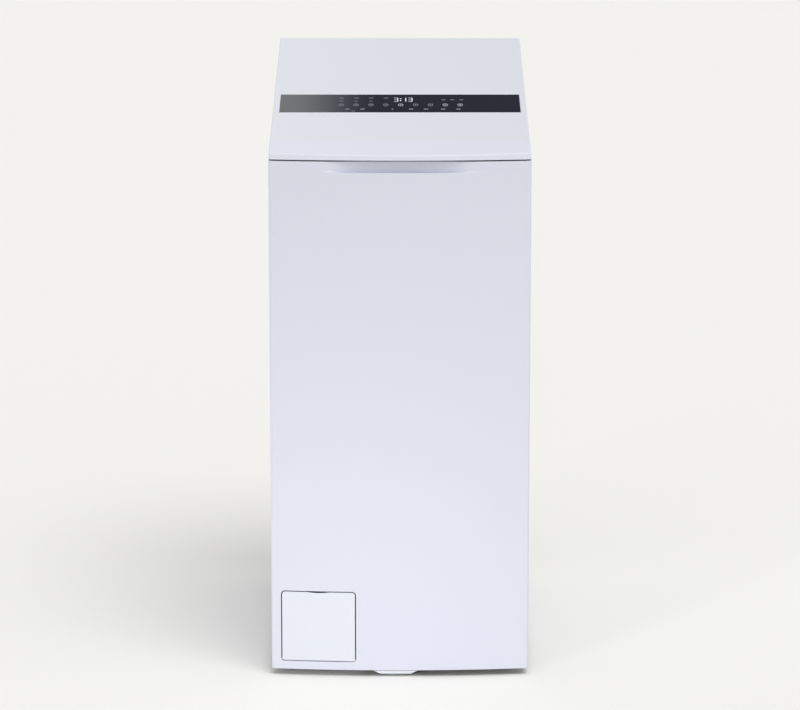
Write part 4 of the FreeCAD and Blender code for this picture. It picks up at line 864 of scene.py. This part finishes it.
def cleaned_mesh(node):
    """The CAD node's shape without its doubled points and the triangles of its flat faces."""
    source = frame["nodes"][node].data
    mesh = bpy.data.meshes.new(node + "_eased")
    work = bmesh.new()
    work.from_mesh(source)
    bmesh.ops.remove_doubles(work, verts=work.verts, dist=WELD_GAP)
    bmesh.ops.dissolve_limit(work, angle_limit=FLAT_ANGLE, verts=work.verts, edges=work.edges)
    work.to_mesh(mesh)
    work.free()
    return mesh


def ease(node, width):
    """A piece of the CAD node's shape with rounded edges."""
    mesh = cleaned_mesh(node)
    mesh.polygons.foreach_set("use_smooth", [True] * len(mesh.polygons))
    mesh.set_sharp_from_angle(angle=EDGE_ANGLE)
    piece = finish_piece(node + "_eased", mesh, SLOT_OF[node], BODY_OF[node], node)
    bevel = piece.modifiers.new("eased", "BEVEL")
    bevel.width = width * MM
    bevel.segments = 2
    bevel.limit_method = "ANGLE"
    bevel.angle_limit = EDGE_ANGLE
    bevel.harden_normals = True
    bevel.use_clamp_overlap = True


# Width of the rounded edge on each node, in millimetres.
EASED = {
    "top_deck": 1.0, "lid_inner_liner": 0.8, "dispenser_tray": 0.5, "filter_recess": 0.5, "base_tray": 0.8,
    "left_side_panel": 0.4, "right_side_panel": 0.4, "back_panel": 0.4, "hinge_brackets": 0.4,
    "inlet_valve": 0.6, "drain_outlet": 0.6, "lid_lock": 0.6, "control_module": 0.8,
    "suspension_brackets": 0.4,
    "tub_left_half": 1.0, "tub_right_half": 1.0, "counterweights": 2.5, "motor_housing": 1.2,
    "bearing_housings": 0.5, "rear_feet": 0.8, "front_left_foot": 0.8, "front_right_foot": 0.8,
    "castor_wheels": 0.8, "trolley_lever": 0.8, "trolley_cradle": 0.5, "drum_flap_front": 0.3,
    "drum_flap_rear": 0.3, "drum_lifters": 1.5, "drum_pulley": 0.6, "filter_knob": 0.7, "pump_impeller": 0.4,
    "flap_latch_button": 0.5, "transit_hole_caps": 0.6, "pump_body": 0.8, "pressure_switch": 0.8,
    "cable_gland": 0.6, "lid_latch_hook": 0.4, "lock_bolt": 0.3, "lid_seal": 0.8, "damper_cylinders": 0.6,
    "drum_ends": 0.6, "display_board": 0.3, "back_panel_screws": 0.4, "tub_screws": 0.4,
}


def ease_cad_pieces():
    for node, width in EASED.items():
        ease(node, width)


# ---- Soft pieces between the cabinet and the hanging tub ----
GASKET_LOW, GASKET_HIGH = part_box("mouth_gasket")
GASKET_CORNER = 37 * MM
GASKET_LIP = 8 * MM
GASKET_WALL = 3.05 * MM
GASKET_FOLD = 5.5 * MM
GASKET_FOLDS = 3
GASKET_LONGEST_SIDE = 400 * MM
SOFT_EDGE_ANGLE = math.radians(40)


def gasket_mesh():
    """A folded sleeve: up the outside of its section and down the inside."""
    skin = Skin()
    fold_low = GASKET_LOW.z + GASKET_LIP
    fold_run = GASKET_HIGH.z - GASKET_LIP - fold_low
    outside = [(GASKET_FOLD, GASKET_LOW.z, 0.0)]
    steps = 10 * GASKET_FOLDS
    for k in range(steps + 1):
        turn = 2 * math.pi * GASKET_FOLDS * k / steps
        slope = -GASKET_FOLD * math.pi * GASKET_FOLDS * math.sin(turn) / fold_run
        outside.append((GASKET_FOLD * (1 + math.cos(turn)) / 2, fold_low + fold_run * k / steps, slope))
    outside.append((GASKET_FOLD, GASKET_HIGH.z, 0.0))
    section = [(inset, z, 1, slope) for inset, z, slope in outside]
    section += [(inset + GASKET_WALL, z, -1, -slope) for inset, z, slope in reversed(outside)]
    rings = []
    for inset, z, out, rise in section:
        low = (GASKET_LOW.x + inset, GASKET_LOW.y + inset)
        high = (GASKET_HIGH.x - inset, GASKET_HIGH.y - inset)
        radius = GASKET_CORNER - inset
        loop = rounded_loop(low, high, (radius, radius), GASKET_LONGEST_SIDE, 8)
        rings.append([skin.add((spot.x, spot.y, z), (way.x * out, way.y * out, rise)) for spot, way in loop])
    for i, ring in enumerate(rings):
        skin.strip(rings[i - 1], ring, True, True)
    return skin.mesh("mouth_gasket_soft")


def soft_mesh(node):
    mesh = cleaned_mesh(node)
    mesh.polygons.foreach_set("use_smooth", [True] * len(mesh.polygons))
    mesh.set_sharp_from_angle(angle=SOFT_EDGE_ANGLE)
    return mesh


def hold_between(node, mesh):
    """The piece takes the node's material, stands in for the hidden node, and keeps its place baked into its
    points.
    """
    mesh.materials.clear()
    mesh.materials.append(MATERIALS[SLOT_OF[node]])
    piece = bpy.data.objects.new(node + "_soft", mesh)
    bpy.context.scene.collection.objects.link(piece)
    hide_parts(node)
    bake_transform(piece)


def soft_pieces():
    hold_between("suspension_springs", soft_mesh("suspension_springs"))
    hold_between("sump_hose", soft_mesh("sump_hose"))
    hold_between("mouth_gasket", gasket_mesh())


# ---- Perforated drum ----
DRUM_AXIS = Vector(JOINTS["drum_spin"]["pos_m"])
DRUM_LOW, DRUM_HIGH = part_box("drum_shell")
DRUM_R = DRUM_HIGH.z - DRUM_AXIS.z
DRUM_SHEET = 1.0 * MM
OPENING_HALF_X = 105 * MM
OPENING_HALF_Y = 122 * MM
HOLE_R = 2.6 * MM
HOLE_SIDES = 8
HOLE_PITCH = 15 * MM
HOLE_STAGGER = 2.5 * MM
HOLE_ROWS = 90
OPENING_ROWS = 16
PLAIN_BESIDE = 0.05


def drum_spot(angle, x):
    return Vector((x, DRUM_AXIS.y + DRUM_R * math.sin(angle), DRUM_AXIS.z + DRUM_R * math.cos(angle)))


def pierced_cell(work, a0, a1, x0, x1, shift):
    """A square of drum sheet with a round hole in it."""
    corners = [(a0, x0), ((a0 + a1) / 2, x0), (a1, x0), (a1, (x0 + x1) / 2), (a1, x1), ((a0 + a1) / 2, x1),
               (a0, x1), (a0, (x0 + x1) / 2)]
    outer = [work.verts.new(drum_spot(a, x)) for a, x in corners]
    inner = []
    middle_a = (a0 + a1) / 2
    middle_x = (x0 + x1) / 2 + shift
    first_turn = 225
    for k in range(HOLE_SIDES):
        turn = math.radians(first_turn + 360 * k / HOLE_SIDES)
        inner.append(work.verts.new(drum_spot(middle_a + HOLE_R * math.cos(turn) / DRUM_R,
                                              middle_x + HOLE_R * math.sin(turn))))
    for k in range(HOLE_SIDES):
        j = (k + 1) % HOLE_SIDES
        work.faces.new((outer[k], outer[j], inner[j], inner[k]))


def pierced_drum():
    """The drum's shell, open at the top, with staggered holes between its two plain rims."""
    work = bmesh.new()
    half = math.asin(OPENING_HALF_Y / DRUM_R)
    angles = steps_between(-half, half, 2 * half / OPENING_ROWS)
    angles += steps_between(half, 2 * math.pi - half, 2 * math.pi / HOLE_ROWS)[1:]
    xs = [DRUM_LOW.x] + steps_between(-OPENING_HALF_X, OPENING_HALF_X, HOLE_PITCH) + [DRUM_HIGH.x]
    for i, (a0, a1) in enumerate(zip(angles[:-1], angles[1:])):
        opening = a1 <= half + 1e-6
        for k, (x0, x1) in enumerate(zip(xs[:-1], xs[1:])):
            rim = k == 0 or k == len(xs) - 2
            beside = a0 < half + PLAIN_BESIDE or a1 > 2 * math.pi - half - PLAIN_BESIDE
            if opening and not rim:
                continue
            if rim or beside:
                corners = [(a0, x0), (a1, x0), (a1, x1), (a0, x1)]
                work.faces.new([work.verts.new(drum_spot(a, x)) for a, x in corners])
            else:
                pierced_cell(work, a0, a1, x0, x1, HOLE_STAGGER if i % 2 else -HOLE_STAGGER)
    bmesh.ops.remove_doubles(work, verts=work.verts, dist=0.01 * MM)
    bmesh.ops.recalc_face_normals(work, faces=work.faces)
    side = work.faces[:][0]
    if side.normal.dot(side.calc_center_median() - DRUM_AXIS) < 0:
        bmesh.ops.reverse_faces(work, faces=work.faces)
    mesh = bpy.data.meshes.new("drum_shell_pierced")
    work.to_mesh(mesh)
    work.free()
    mesh.polygons.foreach_set("use_smooth", [True] * len(mesh.polygons))
    piece = finish_piece("drum_shell_pierced", mesh, "drum_steel", "drum", "drum_shell")
    thick = piece.modifiers.new("sheet", "SOLIDIFY")
    thick.thickness = DRUM_SHEET
    thick.offset = -1


def paint_cad_nodes():
    for node, cad in frame["nodes"].items():
        cad.data.materials.clear()
        cad.data.materials.append(MATERIALS[SLOT_OF[node]])


# ---- Marks under the glass ----
MARK_RISE = 0.05 * MM
MARK_PITCH = 23.4 * MM
MARK_START = -92.5 * MM
RING_STEPS = 20
KEY_COUNT = 9
LIT_KEYS = (4, 7, 8)
KEY_Y = -62 * MM
LABEL_Y = -83 * MM
DIGIT_Y = -36.5 * MM
COLON_X = 1.0 * MM
# Middle of each digit in millimetres, and the digit.
DIGITS = ((-6.5, "3"), (6.0, "1"), (16.0, "3"))


def flat_mark(skin, spots):
    """A flat mark just over the glass, from spots in (x, y) counter-clockwise."""
    numbers = []
    for spot in spots:
        point, normal, _, _ = local_frame(lid_surface, spot)
        numbers.append(skin.add(point + normal * MARK_RISE, normal))
    skin.faces.append(tuple(numbers))


def bar_mark(skin, x, y, half_x, half_y):
    flat_mark(skin, [(x - half_x, y - half_y), (x + half_x, y - half_y), (x + half_x, y + half_y),
                     (x - half_x, y + half_y)])


def ring_mark(skin, x, y, half_x, half_y, thick):
    for i in range(RING_STEPS):
        a = 2 * math.pi * i / RING_STEPS
        b = 2 * math.pi * (i + 1) / RING_STEPS
        spots = []
        for angle, inset in ((a, 0.0), (b, 0.0), (b, thick), (a, thick)):
            spots.append((x + math.cos(angle) * (half_x - inset), y + math.sin(angle) * (half_y - inset)))
        flat_mark(skin, spots)


SEGMENTS = {"1": "bc", "3": "abgcd"}


def digit_mark(skin, digit, x, y, half_x, half_y, thick):
    """A seven-bar digit."""
    places = {
        "a": (0, 1, True), "b": (1, 0.5, False), "c": (1, -0.5, False), "d": (0, -1, True), "g": (0, 0, True),
    }
    for letter in SEGMENTS[digit]:
        px, py, level = places[letter]
        size = (half_x, thick) if level else (thick, half_y / 2)
        bar_mark(skin, x + px * half_x, y + py * half_y, *size)


def lower_labels(skin):
    """Small labels under the keys, at uneven places as on the real strip."""
    for k, x in enumerate((-82.4, -58.8, -11.8, 17.4, 41.0, 67.6, 91.6)):
        half = 1.4 if k == 2 else 3.4
        bar_mark(skin, x * MM, LABEL_Y, half * MM, 2.6 * MM)
    bar_mark(skin, -73 * MM, -93 * MM, 2.4 * MM, 1.2 * MM)


def control_marks():
    bright = Skin()
    middle = Skin()
    dim = Skin()
    for x, digit in DIGITS:
        digit_mark(bright, digit, x * MM, DIGIT_Y, 3.0 * MM, 9 * MM, 0.65 * MM)
    for side in (1, -1):
        bar_mark(bright, COLON_X, DIGIT_Y + side * 4.5 * MM, 1.0 * MM, 1.8 * MM)
    for k in range(KEY_COUNT):
        x = MARK_START + MARK_PITCH * k
        target = middle if k in LIT_KEYS else dim
        ring_mark(target, x, KEY_Y, 4.2 * MM, 7.0 * MM, 1.3 * MM)
        bar_mark(target, x, KEY_Y, 1.2 * MM, 2.6 * MM)
    for k in range(4):
        x = MARK_START + MARK_PITCH * k
        bar_mark(dim, x, -28 * MM, 3.4 * MM, 1.7 * MM)
        if k < 3:
            bar_mark(dim, x, -43 * MM, 2.6 * MM, 1.4 * MM)
    lower_labels(dim)
    for x in (68.5, 82.4, 96.7):
        bar_mark(dim, x * MM, -37 * MM, 3.0 * MM, 1.7 * MM)
    kinds = ((bright, "bright", MARK_BRIGHT), (middle, "middle", MARK_MIDDLE), (dim, "dim", MARK_DIM))
    for skin, name, paint in kinds:
        piece = skin.piece("control_marks_" + name, "dark_glass", "lid")
        piece.data.materials[0] = paint


# Painted shading: the lid's nose in front of the crease gets a bluer white than its top behind it. This stands in
# for the different light on the steeper nose and is not a real colour difference in the moulding.
painted_shading_along_y(LID_WHITE, BREAK_Y, 2 * MM, (0.752, 0.768, 0.872), (0.748, 0.775, 0.832))
add_camera()
add_light()
add_floor()
paint_cad_nodes()
ease_cad_pieces()
front_panel()
pump_door()
lid_shell()
control_glass()
control_marks()
soft_pieces()
pierced_drum()
